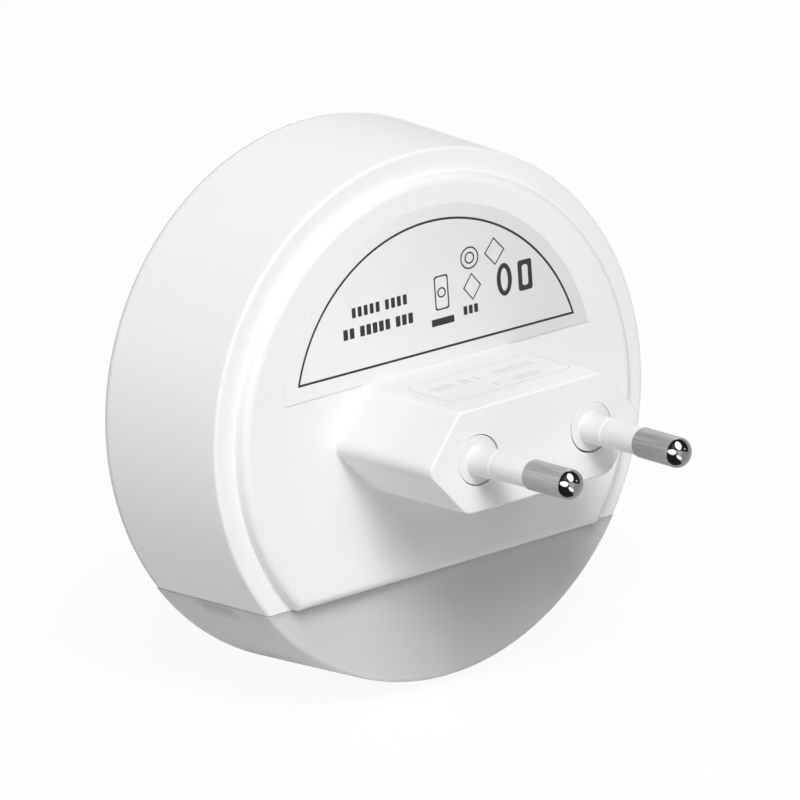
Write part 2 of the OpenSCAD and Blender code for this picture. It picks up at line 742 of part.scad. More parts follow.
// ---- Mode switch ----

module switch_body() color("dimgray")
    difference() {
        block([switch_body_x[0], board_rear_y, -switch_body_z],
            [switch_body_x[1], switch_y + switch_body_top, switch_body_z]);
        block([foot_x[0] - play, switch_y - slot_y - foot_lip, -foot_z - switch_travel - play],
            [foot_x[1] + play, switch_y + slot_y + foot_lip, foot_z + switch_travel + play]);
        block([-reach, switch_y - slot_y, -slot_z], [foot_x[0], switch_y + slot_y, slot_z]);
    }

// Knob with grip ridges, stem through the wall and a foot that is held inside the switch
module switch_slider() color("white") {
    difference() {
        block([knob_x[0], switch_y - knob_w / 2, -knob_l / 2],
            [knob_x[1], switch_y + knob_w / 2, knob_l / 2]);
        for (z = [-groove_pitch, 0, groove_pitch])
            block([knob_x[0] - 1, switch_y - knob_w, z - groove_w / 2],
                [knob_x[0] + groove_depth, switch_y + knob_w, z + groove_w / 2]);
    }
    block([foot_x[0], switch_y - knob_w / 2 - foot_lip, -foot_z],
        [foot_x[1], switch_y + knob_w / 2 + foot_lip, foot_z]);
}

module switch_terminals() color("silver")
    for (z = terminal_z) bar_y([terminal_x, z], terminal_r, board_front_y - 1.2, board_rear_y, 16);

// ---- Wires ----

module live_wire() color("brown") wire(live_route);
module neutral_wire() color("blue") wire(neutral_route);
module led_wire_red() color("red") wire(red_route, led_wire_r);
module led_wire_black() color("black") wire(black_route, led_wire_r);

rear_housing();
front_cover();
diffuser();
rating_label();
sleeve_left();
sleeve_right();
pin_left();
pin_right();
pin_retainer();
retainer_screw();
pir_lens();
lens_retainer();
lens_screws();
pir_sensor();
pir_window();
pir_legs();
sensor_spacer();
light_sensor();
light_pipe();
driver_board();
board_screws();
film_capacitor();
electrolytic_capacitor();
inductor();
varistor();
fuse_resistor();
bridge_rectifier();
driver_chip();
controller_chip();
small_parts();
led_tray();
tray_screws();
led_board();
led_screws();
leds();
switch_body();
switch_slider();
switch_terminals();
live_wire();
neutral_wire();
led_wire_red();
led_wire_black();
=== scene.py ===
import math

import bmesh
import bpy
import numpy as np
from bpy.props import FloatProperty, FloatVectorProperty, PointerProperty
from mathutils import Matrix, Vector


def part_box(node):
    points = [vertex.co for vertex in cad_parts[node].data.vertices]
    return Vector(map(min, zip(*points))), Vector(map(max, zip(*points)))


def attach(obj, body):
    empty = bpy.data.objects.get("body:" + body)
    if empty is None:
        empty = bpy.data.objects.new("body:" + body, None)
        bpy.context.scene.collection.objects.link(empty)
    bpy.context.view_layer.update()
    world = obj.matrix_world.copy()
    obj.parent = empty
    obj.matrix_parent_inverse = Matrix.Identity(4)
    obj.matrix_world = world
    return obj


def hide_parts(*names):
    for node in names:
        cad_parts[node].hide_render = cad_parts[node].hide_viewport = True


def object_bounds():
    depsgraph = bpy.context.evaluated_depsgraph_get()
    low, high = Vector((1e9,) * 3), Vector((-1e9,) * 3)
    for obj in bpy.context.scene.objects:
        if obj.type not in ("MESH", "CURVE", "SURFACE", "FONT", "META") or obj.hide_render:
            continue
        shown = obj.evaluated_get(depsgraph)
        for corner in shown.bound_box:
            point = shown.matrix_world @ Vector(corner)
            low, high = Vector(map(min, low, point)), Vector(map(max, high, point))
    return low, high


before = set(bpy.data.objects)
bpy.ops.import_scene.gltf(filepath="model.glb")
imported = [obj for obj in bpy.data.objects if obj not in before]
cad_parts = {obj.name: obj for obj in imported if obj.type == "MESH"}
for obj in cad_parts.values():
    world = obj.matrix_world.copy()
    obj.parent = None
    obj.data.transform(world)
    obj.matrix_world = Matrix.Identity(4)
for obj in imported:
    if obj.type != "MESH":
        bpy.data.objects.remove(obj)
CAD_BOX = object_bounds()

bl_info = {
    "name": "Night Light Surfaces",
    "version": (1, 0),
    "blender": (4, 5, 0),
    "location": "View3D > Sidebar > Night Light",
    "description": "Builds the casing, diffuser, plug and finishes of a plug-in night light",
    "category": "Object",
}

MM = 0.001
TURN = 2 * math.pi
# Points nearer to each other than this are merged
MERGE = 2e-7
# Gap between the housing and the pieces that close it
SEAM_GAP = 0.08 * MM
# Depth by which posts and bosses are sunk into the wall that carries them
SINK = 0.2 * MM
# Depth of the grain in the casing's surface
CASING_RELIEF = 0.0012 * MM


def low(node):
    """Lowest corner of one of the frame's nodes."""
    return [float(c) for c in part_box(node)[0]]


def high(node):
    """Highest corner of one of the frame's nodes."""
    return [float(c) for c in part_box(node)[1]]


# Places that the frame gives
SEAM_Z = low("front_cover")[2]
EDGE_Y = low("rear_housing")[1]
COVER_Y = EDGE_Y - SEAM_GAP
DRUM_R = high("rear_housing")[0]
PLATE_Y = low("rating_label")[1]
LABEL_Y = high("rating_label")[1]
BOARD_Y = high("driver_board")[1]
SWITCH_Y = (low("switch_slider")[1] + high("switch_slider")[1]) / 2


# ---- Sizes and colours that a user would change ----

def length(name, description, millimetres):
    """A length, given in millimetres and kept in metres."""
    return FloatProperty(name=name, description=description, default=millimetres * MM,
                         precision=5, unit="LENGTH")


def share(name, description, default):
    """A number from 0 to 1."""
    return FloatProperty(name=name, description=description, default=default, min=0, max=1)


def power(name, description, default):
    """Strength of a lamp."""
    return FloatProperty(name=name, description=description, default=default, min=0, unit="POWER")


def colour(name, description, default):
    """A colour, as linear red, green and blue."""
    return FloatVectorProperty(name=name, description=description, default=default,
                               size=3, subtype="COLOR", min=0, max=1)


class CasingSizes(bpy.types.PropertyGroup):
    """Sizes of the drum and of the raised plate on its rear."""

    drum_r: length("Drum radius", "Outer radius at the front edge", DRUM_R / MM)
    rear_r: length("Rear radius", "Outer radius at the rear band", 35.4)
    wall: length("Wall", "Thickness of the moulded walls", 1.8)
    rim_r: length("Rim rounding", "Radius of the rear rim's rounding", 0.5)
    plate_r: length("Plate radius", "Radius of the raised plate", 32.2)
    plate_edge_r: length("Plate rounding", "Radius of the rounding along the plate's edge", 1.2)
    step_h: length("Step", "Height of the raised plate above the rear band", 2.0)
    nick: length("Edge break", "Width of the small bevels on sharp edges", 0.1)


class PlugSizes(bpy.types.PropertyGroup):
    """Sizes of the plug block."""

    width: length("Width", "Width across the side points", 35.3)
    height: length("Height", "Height of the block", 13.7)
    flat_w: length("Flat width", "Width of the flat top and bottom", 23.6)
    draft: length("Draft", "Growth of the outline on each side towards its root", 0.3)
    top_r: length("Top rounding", "Radius of the block's upper long edges", 0.9)
    side_r: length("Side rounding", "Radius of the block's side edges", 1.6)
    bottom_r: length("Bottom rounding", "Radius of the block's lower long edges", 2.3)
    edge_r: length("Face rounding", "Radius round the plug's face", 0.25)
    root_r: length("Root fillet", "Radius between block and plate", 0.3)
    wall: length("Wall", "Thickness of the block's walls", 1.7)
    face_t: length("Face thickness", "Thickness of the plug's face", 2.2)
    hole_r: length("Collar hole", "Radius of the holes for the sleeves' collars", 3.38)


class PinSizes(bpy.types.PropertyGroup):
    """Sizes of the pins and their sleeves."""

    spacing: length("Spacing", "Distance between the pins at the plug's face", 18.6)
    tip_spacing: length("Tip spacing", "Distance between the pins at their tips", 17.8)
    reach: length("Reach", "Length of a pin beyond the plug's face", 19.5)
    dome_h: length("Dome height", "Height of a pin's domed end", 1.4)
    pin_r: length("Pin radius", "Radius of the bare part", 2.0)
    sleeve_r: length("Sleeve radius", "Radius of the sleeve at its start", 1.88)
    sleeve_len: length("Sleeve length", "Length of the sleeve beyond the plug's face", 10.9)
    root_r: length("Sleeve root", "Radius of the sleeve's thick foot", 2.06)
    root_len: length("Sleeve root length", "Length of the thick foot", 3.9)
    collar_r: length("Collar radius", "Radius of the collar in the plug's face", 3.25)
    collar_off: length("Collar offset", "How far the collars sit from the middle of their holes", 0.12)


class DiffuserSizes(bpy.types.PropertyGroup):
    """Sizes of the diffuser."""

    proud: length("Proud", "How far the diffuser stands proud of the drum", 0.15)
    wall: length("Wall", "Thickness of the diffuser's wall", 1.5)


class CoverSizes(bpy.types.PropertyGroup):
    """Sizes of the front cover."""

    edge_r: length("Edge rounding", "Radius of the rounding round the cover", 1.2)
    crown_h: length("Crown", "Height of the cover's crown", 1.6)
    wall: length("Wall", "Thickness of the cover", 1.8)
    bezel_r: length("Bezel radius", "Outer radius of the rim round the lens", 13.4)
    bezel_h: length("Bezel height", "Height of the rim round the lens", 0.6)
    lens_hole_r: length("Lens hole", "Radius of the hole for the lens", 11.6)
    pipe_hole_r: length("Light hole", "Radius of the hole for the light sensor's rod", 1.7)
    pipe_z: length("Light hole height", "Height of that hole above the lens's middle", 24.0)


class LensSizes(bpy.types.PropertyGroup):
    """Sizes of the domed lens."""

    radius: length("Radius", "Outer radius of the dome", 11.4)
    dome_h: length("Dome height", "Height of the dome", 7.0)
    wall: length("Wall", "Thickness of the lens", 0.8)
    groove: length("Groove", "Depth of the lines between the lens's facets", 0.22)


class LabelSizes(bpy.types.PropertyGroup):
    """Sizes of the label and its print."""

    radius: length("Radius", "Radius of the label's round edge", 25.6)
    centre_z: length("Centre height", "Height of the round edge's middle", 2.8)
    frame_r: length("Frame radius", "Radius of the printed frame", 23.6)
    frame_z: length("Frame height", "Height of the printed frame's straight side", 9.23)
    line: length("Line", "Width of the printed frame's line", 0.3)
    tilt: FloatProperty(name="Tilt", description="Turn of the print on the label",
                        default=math.radians(0.58), unit="ROTATION")


class SwitchSizes(bpy.types.PropertyGroup):
    """Sizes of the mode switch's knob and of its pocket in the drum's side."""

    pocket_y: length("Pocket width", "Half the pocket's width along the drum's axis", 2.7)
    pocket_z: length("Pocket height", "Half the pocket's height", 5.3)
    pocket_x: length("Pocket floor", "Distance of the pocket's floor from the drum's axis", 34.9)
    slot_y: length("Slot width", "Half the slot's width", 1.8)
    slot_z: length("Slot height", "Half the slot's height", 3.9)
    lip: length("Pocket lip", "Width of the bevel round the pocket", 0.12)


class FinishColours(bpy.types.PropertyGroup):
    """Colours and roughness of the finishes."""

    casing: colour("Casing", "White plastic of housing, cover and switch", (0.88, 0.88, 0.88))
    casing_gloss: share("Casing roughness", "Roughness of the white plastic", 0.5)
    frosted: colour("Diffuser", "Frosted plastic of the diffuser", (0.66, 0.66, 0.665))
    sleeve: colour("Sleeve", "White nylon of the pins' sleeves", (0.81, 0.81, 0.81))
    label: colour("Label", "Printed film of the label", (0.79, 0.79, 0.79))
    ink: colour("Ink", "Print on the label", (0.012, 0.012, 0.012))
    nickel: colour("Nickel", "Matt plating of the pins", (0.38, 0.38, 0.376))
    # The dome colours are painted reflection: dark where a pin's end faces the viewer, lighter at a slant
    dome: colour("Dome", "Polished ends of the pins, seen from the front", (0.012, 0.012, 0.012))
    painted_rim_reflection: colour("Dome rim", "Polished ends of the pins, seen at a slant", (0.26, 0.26, 0.257))
    lens: colour("Lens", "Milky plastic of the lens", (0.84, 0.84, 0.82))


class StageSettings(bpy.types.PropertyGroup):
    """Floor, lamps and camera."""

    floor_gap: length("Floor gap", "Distance of the floor below the lowest point", 0.05)
    sky: FloatProperty(name="Sky", description="Strength of the light from all round", default=0.1)
    key: power("Key lamp", "Strength of the large soft lamp above the plug", 34.8)
    side: power("Side lamp", "Strength of the soft lamp beside the drum's front", 4.55)
    edge: power("Edge lamp", "Strength of the soft lamp beside the drum", 2.06)
    rim: power("Rim lamp", "Strength of the soft lamp above the front", 5.0)
    fill: power("Fill lamp", "Strength of the soft lamp beside the camera", 4.28)


class NightLight(bpy.types.PropertyGroup):
    """Everything that a user would change on the night light."""

    casing: PointerProperty(type=CasingSizes)
    plug: PointerProperty(type=PlugSizes)
    pins: PointerProperty(type=PinSizes)
    diffuser: PointerProperty(type=DiffuserSizes)
    cover: PointerProperty(type=CoverSizes)
    lens: PointerProperty(type=LensSizes)
    label: PointerProperty(type=LabelSizes)
    switch: PointerProperty(type=SwitchSizes)
    finish: PointerProperty(type=FinishColours)
    stage: PointerProperty(type=StageSettings)


# ---- Curves ----

def unit(vector):
    """The vector scaled to length 1."""
    return vector / np.linalg.norm(vector)


def arc(centre, radius, start, stop, steps):
    """Points on an arc: the centre plus the radius along each angle, in degrees from start to stop."""
    turn = np.radians(np.linspace(start, stop, steps + 1))
    return np.array(centre) + radius * np.stack([np.cos(turn), np.sin(turn)], -1)


def rounded(corners, radius, steps=8, closed=True):
    """Outline whose corners are arcs that touch both of their sides; a radius of 0 keeps the corner.

    Between the two touching points the arc's arms turn evenly from one to the other."""
    corners = np.asarray(corners, float)
    radii = np.broadcast_to(radius, len(corners))
    part = np.linspace(0, 1, steps + 1)[:, None]
    parts = []
    for k, (point, r) in enumerate(zip(corners, radii)):
        if r <= 0 or (not closed and k in (0, len(corners) - 1)):
            parts.append(point[None])
            continue
        back = unit(corners[k - 1] - point)
        on = unit(corners[(k + 1) % len(corners)] - point)
        half = math.acos(np.clip(back @ on, -1, 1)) / 2
        middle = point + unit(back + on) * r / math.sin(half)
        first = point + back * r / math.tan(half) - middle
        last = point + on * r / math.tan(half) - middle
        sweep = math.pi - 2 * half
        arms = (np.sin((1 - part) * sweep) * first + np.sin(part * sweep) * last) / math.sin(sweep)
        parts.append(middle + arms)
    return np.concatenate(parts)


def divided(marks, step_at):
    """Values through every mark: each gap is split evenly into pieces no longer than the step there."""
    slack = 1e-6
    parts = []
    for a, b in zip(marks[:-1], marks[1:]):
        pieces = max(1, math.ceil((b - a) / step_at((a + b) / 2) - slack))
        parts.append(np.linspace(a, b, pieces, endpoint=False))
    return np.concatenate([*parts, marks[-1:]])


def reach(outline, turn):
    """Distance from the middle to a closed outline: where each turn's ray meets the side it falls on."""
    start = np.arctan2(outline[:, 1], outline[:, 0]) % TURN
    order = np.argsort(start)
    first = outline[order]
    last = np.roll(first, -1, 0)
    side = np.searchsorted(start[order], np.asarray(turn) % TURN, side="right") - 1
    a, along = first[side], (last - first)[side]
    return ((a[..., 0] * along[..., 1] - a[..., 1] * along[..., 0])
            / (np.cos(turn) * along[..., 1] - np.sin(turn) * along[..., 0]))


def spin(radius, level, turn, centre=(0.0, 0.0)):
    """Points turned about the Y axis: x and z are the centre plus the radius times the turn's cosine and
    sine."""
    radius, level, turn = np.broadcast_arrays(radius, level, turn)
    return np.stack([centre[0] + radius * np.cos(turn), level, centre[1] + radius * np.sin(turn)], -1)


# ---- Surfaces ----

class Skin:
    """Points and faces of one piece, gathered from whole arrays."""

    def __init__(self):
        self.points = []
        self.faces = []
        self.count = 0

    def add(self, points):
        """Keeps an array of points, whatever its layout, and returns their numbers in that layout."""
        points = np.asarray(points, float)
        numbers = self.count + np.arange(points[..., 0].size).reshape(points.shape[:-1])
        self.points.append(points.reshape(-1, 3))
        self.count += numbers.size
        return numbers

    def sheet(self, grid, wrap=False, keep=None):
        """A quad between each number of a grid and its neighbours; wrap joins the last column to the
        first."""
        grid = np.asarray(grid)
        if wrap:
            grid = np.concatenate([grid, grid[:, :1]], 1)
        cells = np.stack([grid[:-1, :-1], grid[:-1, 1:], grid[1:, 1:], grid[1:, :-1]], -1)
        self.faces += (cells if keep is None else cells[keep]).reshape(-1, 4).tolist()

    def rows(self, points, wrap=True):
        """Adds a grid of points and the sheet over it."""
        grid = self.add(points)
        self.sheet(grid, wrap)
        return grid


def lathe(skin, profile, columns=96, place=lambda p: p, centre=(0.0, 0.0)):
    """Surface of revolution: every [radius, level] point of the profile is turned about the Y axis.

    Points on the axis close it in a pole, and a profile that ends where it starts makes a ring."""
    profile = np.asarray(profile, float)
    turn = np.arange(columns) * TURN / columns
    return skin.rows(place(spin(profile[:, 0, None], profile[:, 1, None], turn, centre)))


def tablet(skin, loop, bottom, top, place, soft=0.0):
    """Thin closed solid over a loop of [u, v] points: out from its middle, up its side and back again.

    soft bevels its upper edge, and place turns [u, v, height] into a point of the frame."""
    middle = loop.mean(0)
    size = np.linalg.norm(loop - middle, axis=1).max()
    steps = [(0, bottom), (1, bottom), (1, top - soft), (1 - soft / size, top), (0, top)]
    rows = [np.column_stack([middle + (loop - middle) * s, np.full(len(loop), h)]) for s, h in steps]
    skin.rows(place(np.array(rows)))


def band(skin, outer, inner, bottom, top, place):
    """Thin closed frame between two loops of as many points: up the outer one and down the inner one."""
    steps = [(outer, bottom), (outer, top), (inner, top), (inner, bottom), (outer, bottom)]
    rows = [np.column_stack([loop, np.full(len(loop), h)]) for loop, h in steps]
    skin.rows(place(np.array(rows)))


def block(skin, corner_a, corner_b, radius, dent=lambda p: p, marks=()):
    """Box with rounded edges, built in layers along Z.

    A layer is a rectangle with round corners, drawn in by radius minus the root of radius squared minus the
    depth squared where it lies in the rounding of an end. dent moves points of the finished box."""
    a, b = np.minimum(corner_a, corner_b), np.maximum(corner_a, corner_b)
    bend = np.radians(np.linspace(0, 90, 6))
    ends = radius * (1 - np.cos(bend))
    heights = np.concatenate([a[2] + ends, np.array(marks), b[2] - ends[::-1]])
    pull = radius * (1 - np.sin(bend))
    inset = np.concatenate([pull, np.zeros(len(marks)), pull[::-1]])
    layers = []
    for z, d in zip(heights, inset):
        lo, hi = a[:2] + d, b[:2] - d
        loop = rounded([lo, (hi[0], lo[1]), hi, (lo[0], hi[1])], max(radius - d, radius * 0.05), 4)
        layers.append(np.column_stack([loop, np.full(len(loop), z)]))
    middle = (a + b) / 2
    caps = [np.broadcast_to([middle[0], middle[1], layer[0, 2]], layer.shape)
            for layer in (layers[0], layers[-1])]
    skin.rows(dent(np.array([caps[0], *layers, caps[1]])))


def patch(grid, row_a, row_b, column_a, column_b):
    """A rectangle of a grid's cells: a mask of the cells outside it, and the numbers round its edge."""
    keep = np.ones((grid.shape[0] - 1, grid.shape[1] - 1), bool)
    keep[row_a:row_b, column_a:column_b] = False
    edge = np.concatenate([grid[row_a, column_a:column_b], grid[row_a:row_b, column_b],
                           grid[row_b, column_b:column_a:-1], grid[row_b:row_a:-1, column_a]])
    return keep, edge


def merged(name, skin, closed):
    """A mesh of the skin in which what meets is merged; the faces of a closed one are turned outwards."""
    mesh = bpy.data.meshes.new(name)
    mesh.from_pydata(np.concatenate(skin.points), [], skin.faces)
    work = bmesh.new()
    work.from_mesh(mesh)
    bmesh.ops.remove_doubles(work, verts=work.verts, dist=MERGE)
    if closed:
        bmesh.ops.recalc_face_normals(work, faces=work.faces)
        if work.calc_volume(signed=True) < 0:
            bmesh.ops.reverse_faces(work, faces=work.faces)
    work.to_mesh(mesh)
    work.free()
    return mesh


def make(name, skin, material, body, replaces=(), crease=32):
    """Turns a skin into a piece of the object.

    Every edge has to have two faces, and edges sharper than the crease stay sharp. The piece rides on a body
    and may stand for nodes of the frame."""
    mesh = merged(name, skin, closed=True)
    used = np.empty(len(mesh.loops), int)
    mesh.loops.foreach_get("edge_index", used)
    loose = np.flatnonzero(np.bincount(used, minlength=len(mesh.edges)) != 2)
    if loose.size:
        spot = mesh.vertices[mesh.edges[int(loose[0])].vertices[0]].co / MM
        raise RuntimeError(f"{name} isn't closed: {loose.size} edges don't have two faces, one at {spot}")
    mesh.shade_smooth()
    mesh.set_sharp_from_angle(angle=math.radians(crease))
    mesh.materials.append(material)
    made = bpy.data.objects.new(name, mesh)
    bpy.context.scene.collection.objects.link(made)
    even = made.modifiers.new("Even normals", "WEIGHTED_NORMAL")
    even.keep_sharp = True
    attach(made, body)
    if replaces:
        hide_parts(*replaces)
    return made


# ---- Shader nodes ----

def join(tree, source, socket):
    """Links an output to a socket, or writes a plain value into it."""
    if isinstance(source, bpy.types.NodeSocket):
        tree.links.new(source, socket)
    else:
        socket.default_value = source


def node(tree, kind, settings=None, **inputs):
    """Adds a node. A keyword names an input, with _ for a space, and holds a value or another output."""
    made = tree.nodes.new(kind)
    for key, setting in (settings or {}).items():
        setattr(made, key, setting)
    for key, source in inputs.items():
        join(tree, source, made.inputs[key.replace("_", " ")])
    return made


def sums(tree, operation, *operands, clamp=False):
    """One step of arithmetic on outputs or numbers."""
    made = node(tree, "ShaderNodeMath", {"operation": operation, "use_clamp": clamp})
    for socket, operand in zip(made.inputs, operands):
        join(tree, operand, socket)
    return made.outputs[0]


def blend(tree, factor, first, second):
    """Colour between two colours, by a factor that changes over the surface."""
    made = node(tree, "ShaderNodeMix", {"data_type": "RGBA"})
    join(tree, factor, made.inputs[0])
    for socket, source in ((made.inputs[6], first), (made.inputs[7], second)):
        join(tree, source if isinstance(source, bpy.types.NodeSocket) else (*source[:3], 1.0), socket)
    return made.outputs[2]


def ramp(tree, source, start, stop, first=0.0, last=1.0):
    """Value that goes smoothly from first to last as the source goes from start to stop."""
    made = node(tree, "ShaderNodeMapRange", {"interpolation_type": "SMOOTHSTEP"},
                From_Min=start, From_Max=stop, To_Min=first, To_Max=last)
    join(tree, source, made.inputs[0])
    return made.outputs[0]


def place_of(tree):
    """Object coordinates, whole and as x, y and z."""
    spot = node(tree, "ShaderNodeTexCoord").outputs["Object"]
    axes = node(tree, "ShaderNodeSeparateXYZ", Vector=spot)
    return spot, axes.outputs[0], axes.outputs[1], axes.outputs[2]


def group(name, inputs, outputs, build):
    """A shader node group with named inputs and outputs, built once: inputs hold [name, default] pairs."""
    found = bpy.data.node_groups.get(name)
    if found:
        return found
    tree = bpy.data.node_groups.new(name, "ShaderNodeTree")
    for label, default in inputs:
        socket = tree.interface.new_socket(label, in_out="INPUT", socket_type="NodeSocketFloat")
        socket.default_value = default
    for label in outputs:
        tree.interface.new_socket(label, in_out="OUTPUT", socket_type="NodeSocketFloat")
    given = tree.nodes.new("NodeGroupInput").outputs
    results = build(tree, given)
    end = tree.nodes.new("NodeGroupOutput")
    for label, result in zip(outputs, results):
        tree.links.new(result, end.inputs[label])
    return tree


def grain_group():
    """Fine grain of moulded plastic, and slow patches of tone and gloss such as uneven flow leaves."""
    def build(tree, given):
        spot = place_of(tree)[0]
        fine = node(tree, "ShaderNodeTexNoise", Vector=spot, Detail=2.0, Roughness=0.6,
                    Scale=sums(tree, "DIVIDE", 1.0, given["Grain"])).outputs[0]
        slow = node(tree, "ShaderNodeTexNoise", Vector=spot, Detail=3.0, Roughness=0.5,
                    Scale=sums(tree, "DIVIDE", 1.0, given["Patch"])).outputs[0]
        patches = ramp(tree, slow, 0.3, 0.7)
        swing = sums(tree, "MULTIPLY", sums(tree, "SUBTRACT", patches, 0.5), given["Swing"])
        rough = sums(tree, "ADD", given["Roughness"], swing, clamp=True)
        fine_swing = 0.06
        rough = sums(tree, "ADD", rough,
                     sums(tree, "MULTIPLY", sums(tree, "SUBTRACT", fine, 0.5), fine_swing))
        return fine, rough, patches
    given = [("Grain", 0.3 * MM), ("Patch", 12 * MM), ("Roughness", 0.45), ("Swing", 0.08)]
    return group("Moulded grain", given, ["Height", "Roughness", "Tone"], build)


def streak_group():
    """Lengthwise streaks of drawn metal: noise that is stretched along Y, in a fine and a broad layer."""
    def build(tree, given):
        spot = place_of(tree)[0]
        layers = []
        for factor in (1.0, 0.3):
            across = sums(tree, "DIVIDE", factor, given["Width"])
            along = sums(tree, "DIVIDE", factor, given["Length"])
            scale = node(tree, "ShaderNodeCombineXYZ", X=across, Y=along, Z=across).outputs[0]
            stretched = node(tree, "ShaderNodeVectorMath", {"operation": "MULTIPLY"})
            tree.links.new(spot, stretched.inputs[0])
            tree.links.new(scale, stretched.inputs[1])
            layers.append(node(tree, "ShaderNodeTexNoise", Vector=stretched.outputs[0], Scale=1.0,
                               Detail=3.0, Roughness=0.65).outputs[0])
        both = sums(tree, "ADD", sums(tree, "MULTIPLY", layers[0], 0.6),
                    sums(tree, "MULTIPLY", layers[1], 0.4))
        tone = ramp(tree, both, 0.35, 0.65)
        rough = sums(tree, "ADD", given["Roughness"],
                     sums(tree, "MULTIPLY", sums(tree, "SUBTRACT", tone, 0.5), given["Swing"]), clamp=True)
        return both, rough, tone
    given = [("Width", 0.1 * MM), ("Length", 4 * MM), ("Roughness", 0.4), ("Swing", 0.15)]
    return group("Drawn streaks", given, ["Height", "Roughness", "Tone"], build)


def use(tree, group_tree, **inputs):
    """Places a node group with its own values."""
    made = node(tree, "ShaderNodeGroup", {"node_tree": group_tree})
    for key, source in inputs.items():
        join(tree, source, made.inputs[key])
    return made.outputs


def shader(name, **settings):
    """A new material with a Principled shader and plain values on its sockets: material, tree, shader."""
    material = bpy.data.materials.new(name)
    material.use_nodes = True
    tree = material.node_tree
    surface = tree.nodes["Principled BSDF"]
    for key, setting in settings.items():
        surface.inputs[key.replace("_", " ")].default_value = setting
    return material, tree, surface


def dress(tree, surface, base, rough, height, depth):
    """Feeds colour, roughness and relief into a shader; the height's full range is worth the given depth."""
    tree.links.new(base, surface.inputs["Base Color"])
    tree.links.new(rough, surface.inputs["Roughness"])
    made = node(tree, "ShaderNodeBump", Height=height, Strength=1.0, Distance=depth)
    tree.links.new(made.outputs[0], surface.inputs["Normal"])


def shade(rgb, factor):
    """A colour made darker or lighter."""
    return tuple(min(1.0, c * factor) for c in rgb[:3])


def toned(tree, out, rgb, tone):
    """A colour that is darker by a share of itself in a group's patches."""
    return blend(tree, out["Tone"], shade(rgb, 1 - tone), rgb)


def plastic(name, rgb, roughness=0.45, grain=0.3, depth=0.002, tone=0.03, patches=12.0, swing=0.08):
    """Moulded plastic: fine grain in its relief and gloss, and darker patches; sizes in millimetres."""
    material, tree, surface = shader(name)
    out = use(tree, grain_group(), Grain=grain * MM, Patch=patches * MM, Roughness=roughness, Swing=swing)
    dress(tree, surface, toned(tree, out, rgb, tone), out["Roughness"], out["Height"], depth * MM)
    return material


def metal(name, rgb, roughness=0.35, width=0.1, run=4.0, depth=0.003, tone=0.2):
    """Metal with lengthwise streaks in its colour, gloss and relief; sizes in millimetres."""
    material, tree, surface = shader(name, Metallic=1.0)
    out = use(tree, streak_group(), Width=width * MM, Length=run * MM, Roughness=roughness)
    dress(tree, surface, toned(tree, out, rgb, tone), out["Roughness"], out["Height"], depth * MM)
    return material


def casing_start(name, finish):
    """The casing's satin white plastic, up to its colour: material, tree, shader, grain outputs, colour."""
    material, tree, surface = shader(name, Specular_IOR_Level=0.3)
    out = use(tree, grain_group(), Grain=0.25 * MM, Patch=12 * MM, Roughness=finish.casing_gloss)
    return material, tree, surface, out, toned(tree, out, finish.casing, 0.012)


def white_plastic(finish):
    """The casing's white plastic, plain, for the slider."""
    material, tree, surface, out, base = casing_start("White plastic", finish)
    dress(tree, surface, base, out["Roughness"], out["Height"], CASING_RELIEF)
    return material


def cover_plastic(finish, cover):
    """The casing's white plastic, with painted shade on the cover's rounded edge."""
    material, tree, surface, out, base = casing_start("Cover plastic", finish)
    # Painted shade on the cover's rounded edge, which dims its highlight
    edge = ramp(tree, place_of(tree)[2], COVER_Y - cover.edge_r, COVER_Y - cover.edge_r / 3)
    cover_edge_painted_shade = 0.78
    base = blend(tree, edge, base, shade(finish.casing, cover_edge_painted_shade))
    dress(tree, surface, base, out["Roughness"], out["Height"], CASING_RELIEF)
    return material


# ---- Housing ----

class Columns:
    """Lines over a shell, as turns about the Y axis.

    They run round the drum from one end of the seam over the top to the other, then back along the seam.
    The lines given by their height on the -X side keep that height at every radius. A fine zone is
    [turn, half its width, step], in degrees, and elsewhere the lines are 2 degrees apart."""

    def __init__(self, radius, floor, lines=(), fine=(), seam_steps=42):
        coarse = 2.0
        self.lines = np.array(lines, float)
        self.marks = self.anchors(radius, floor)
        zones = np.radians([(turn - half, turn + half) for turn, half, _ in fine]).reshape(-1)
        zones = zones[(zones > self.marks[0]) & (zones < self.marks[-1])]
        marks = np.unique(np.round(np.concatenate([self.marks, zones]), 7))

        def step(turn):
            near = [s for t, half, s in fine if abs(math.degrees(turn) - t) < half]
            return math.radians(min(near, default=coarse))

        self.arc = divided(marks, step)
        self.along = np.linspace(-1, 1, seam_steps + 1)[1:-1]
        half = math.sqrt(radius ** 2 - floor ** 2)
        self.turns = np.concatenate([self.arc, np.arctan2(floor, self.along * half) % TURN])
        self.top = int(np.argmin(abs(self.turns - math.pi / 2)))
        self.bottom = int(np.argmin(abs(self.turns - 3 * math.pi / 2)))

    def anchors(self, radius, floor):
        """Turns of the fixed lines at a radius: both ends, the top and the -X side's lines."""
        heights = np.append(self.lines, floor)
        start = [math.asin(floor / radius), math.pi / 2]
        return np.concatenate([start, math.pi - np.arcsin(heights / radius)])

    def over(self, radius, floor):
        """Turns of the lines round the drum at a radius: those between the anchors keep their share."""
        return np.interp(self.arc, self.marks, self.anchors(radius, floor))

    def line(self, height):
        """Index of the line that keeps a height on the -X side."""
        mark = self.marks[2 + int(np.argmin(abs(self.lines - height)))]
        return int(np.argmin(abs(self.arc - mark)))

    def wall(self, rows, floor):
        """Points of the lines round the drum on rows of [radius, level]."""
        return np.array([spin(r, y, self.over(r, floor)) for r, y in rows])

    def ring(self, radius, floor, level, seam_level=None):
        """A closed row: an arc of a radius over the seam, and a straight part at the floor's height."""
        half = math.sqrt(radius ** 2 - floor ** 2)
        low_level = level if seam_level is None else seam_level
        straight = np.stack(np.broadcast_arrays(self.along * half, low_level, floor), -1)
        return np.concatenate([spin(radius, level, self.over(radius, floor)), straight])


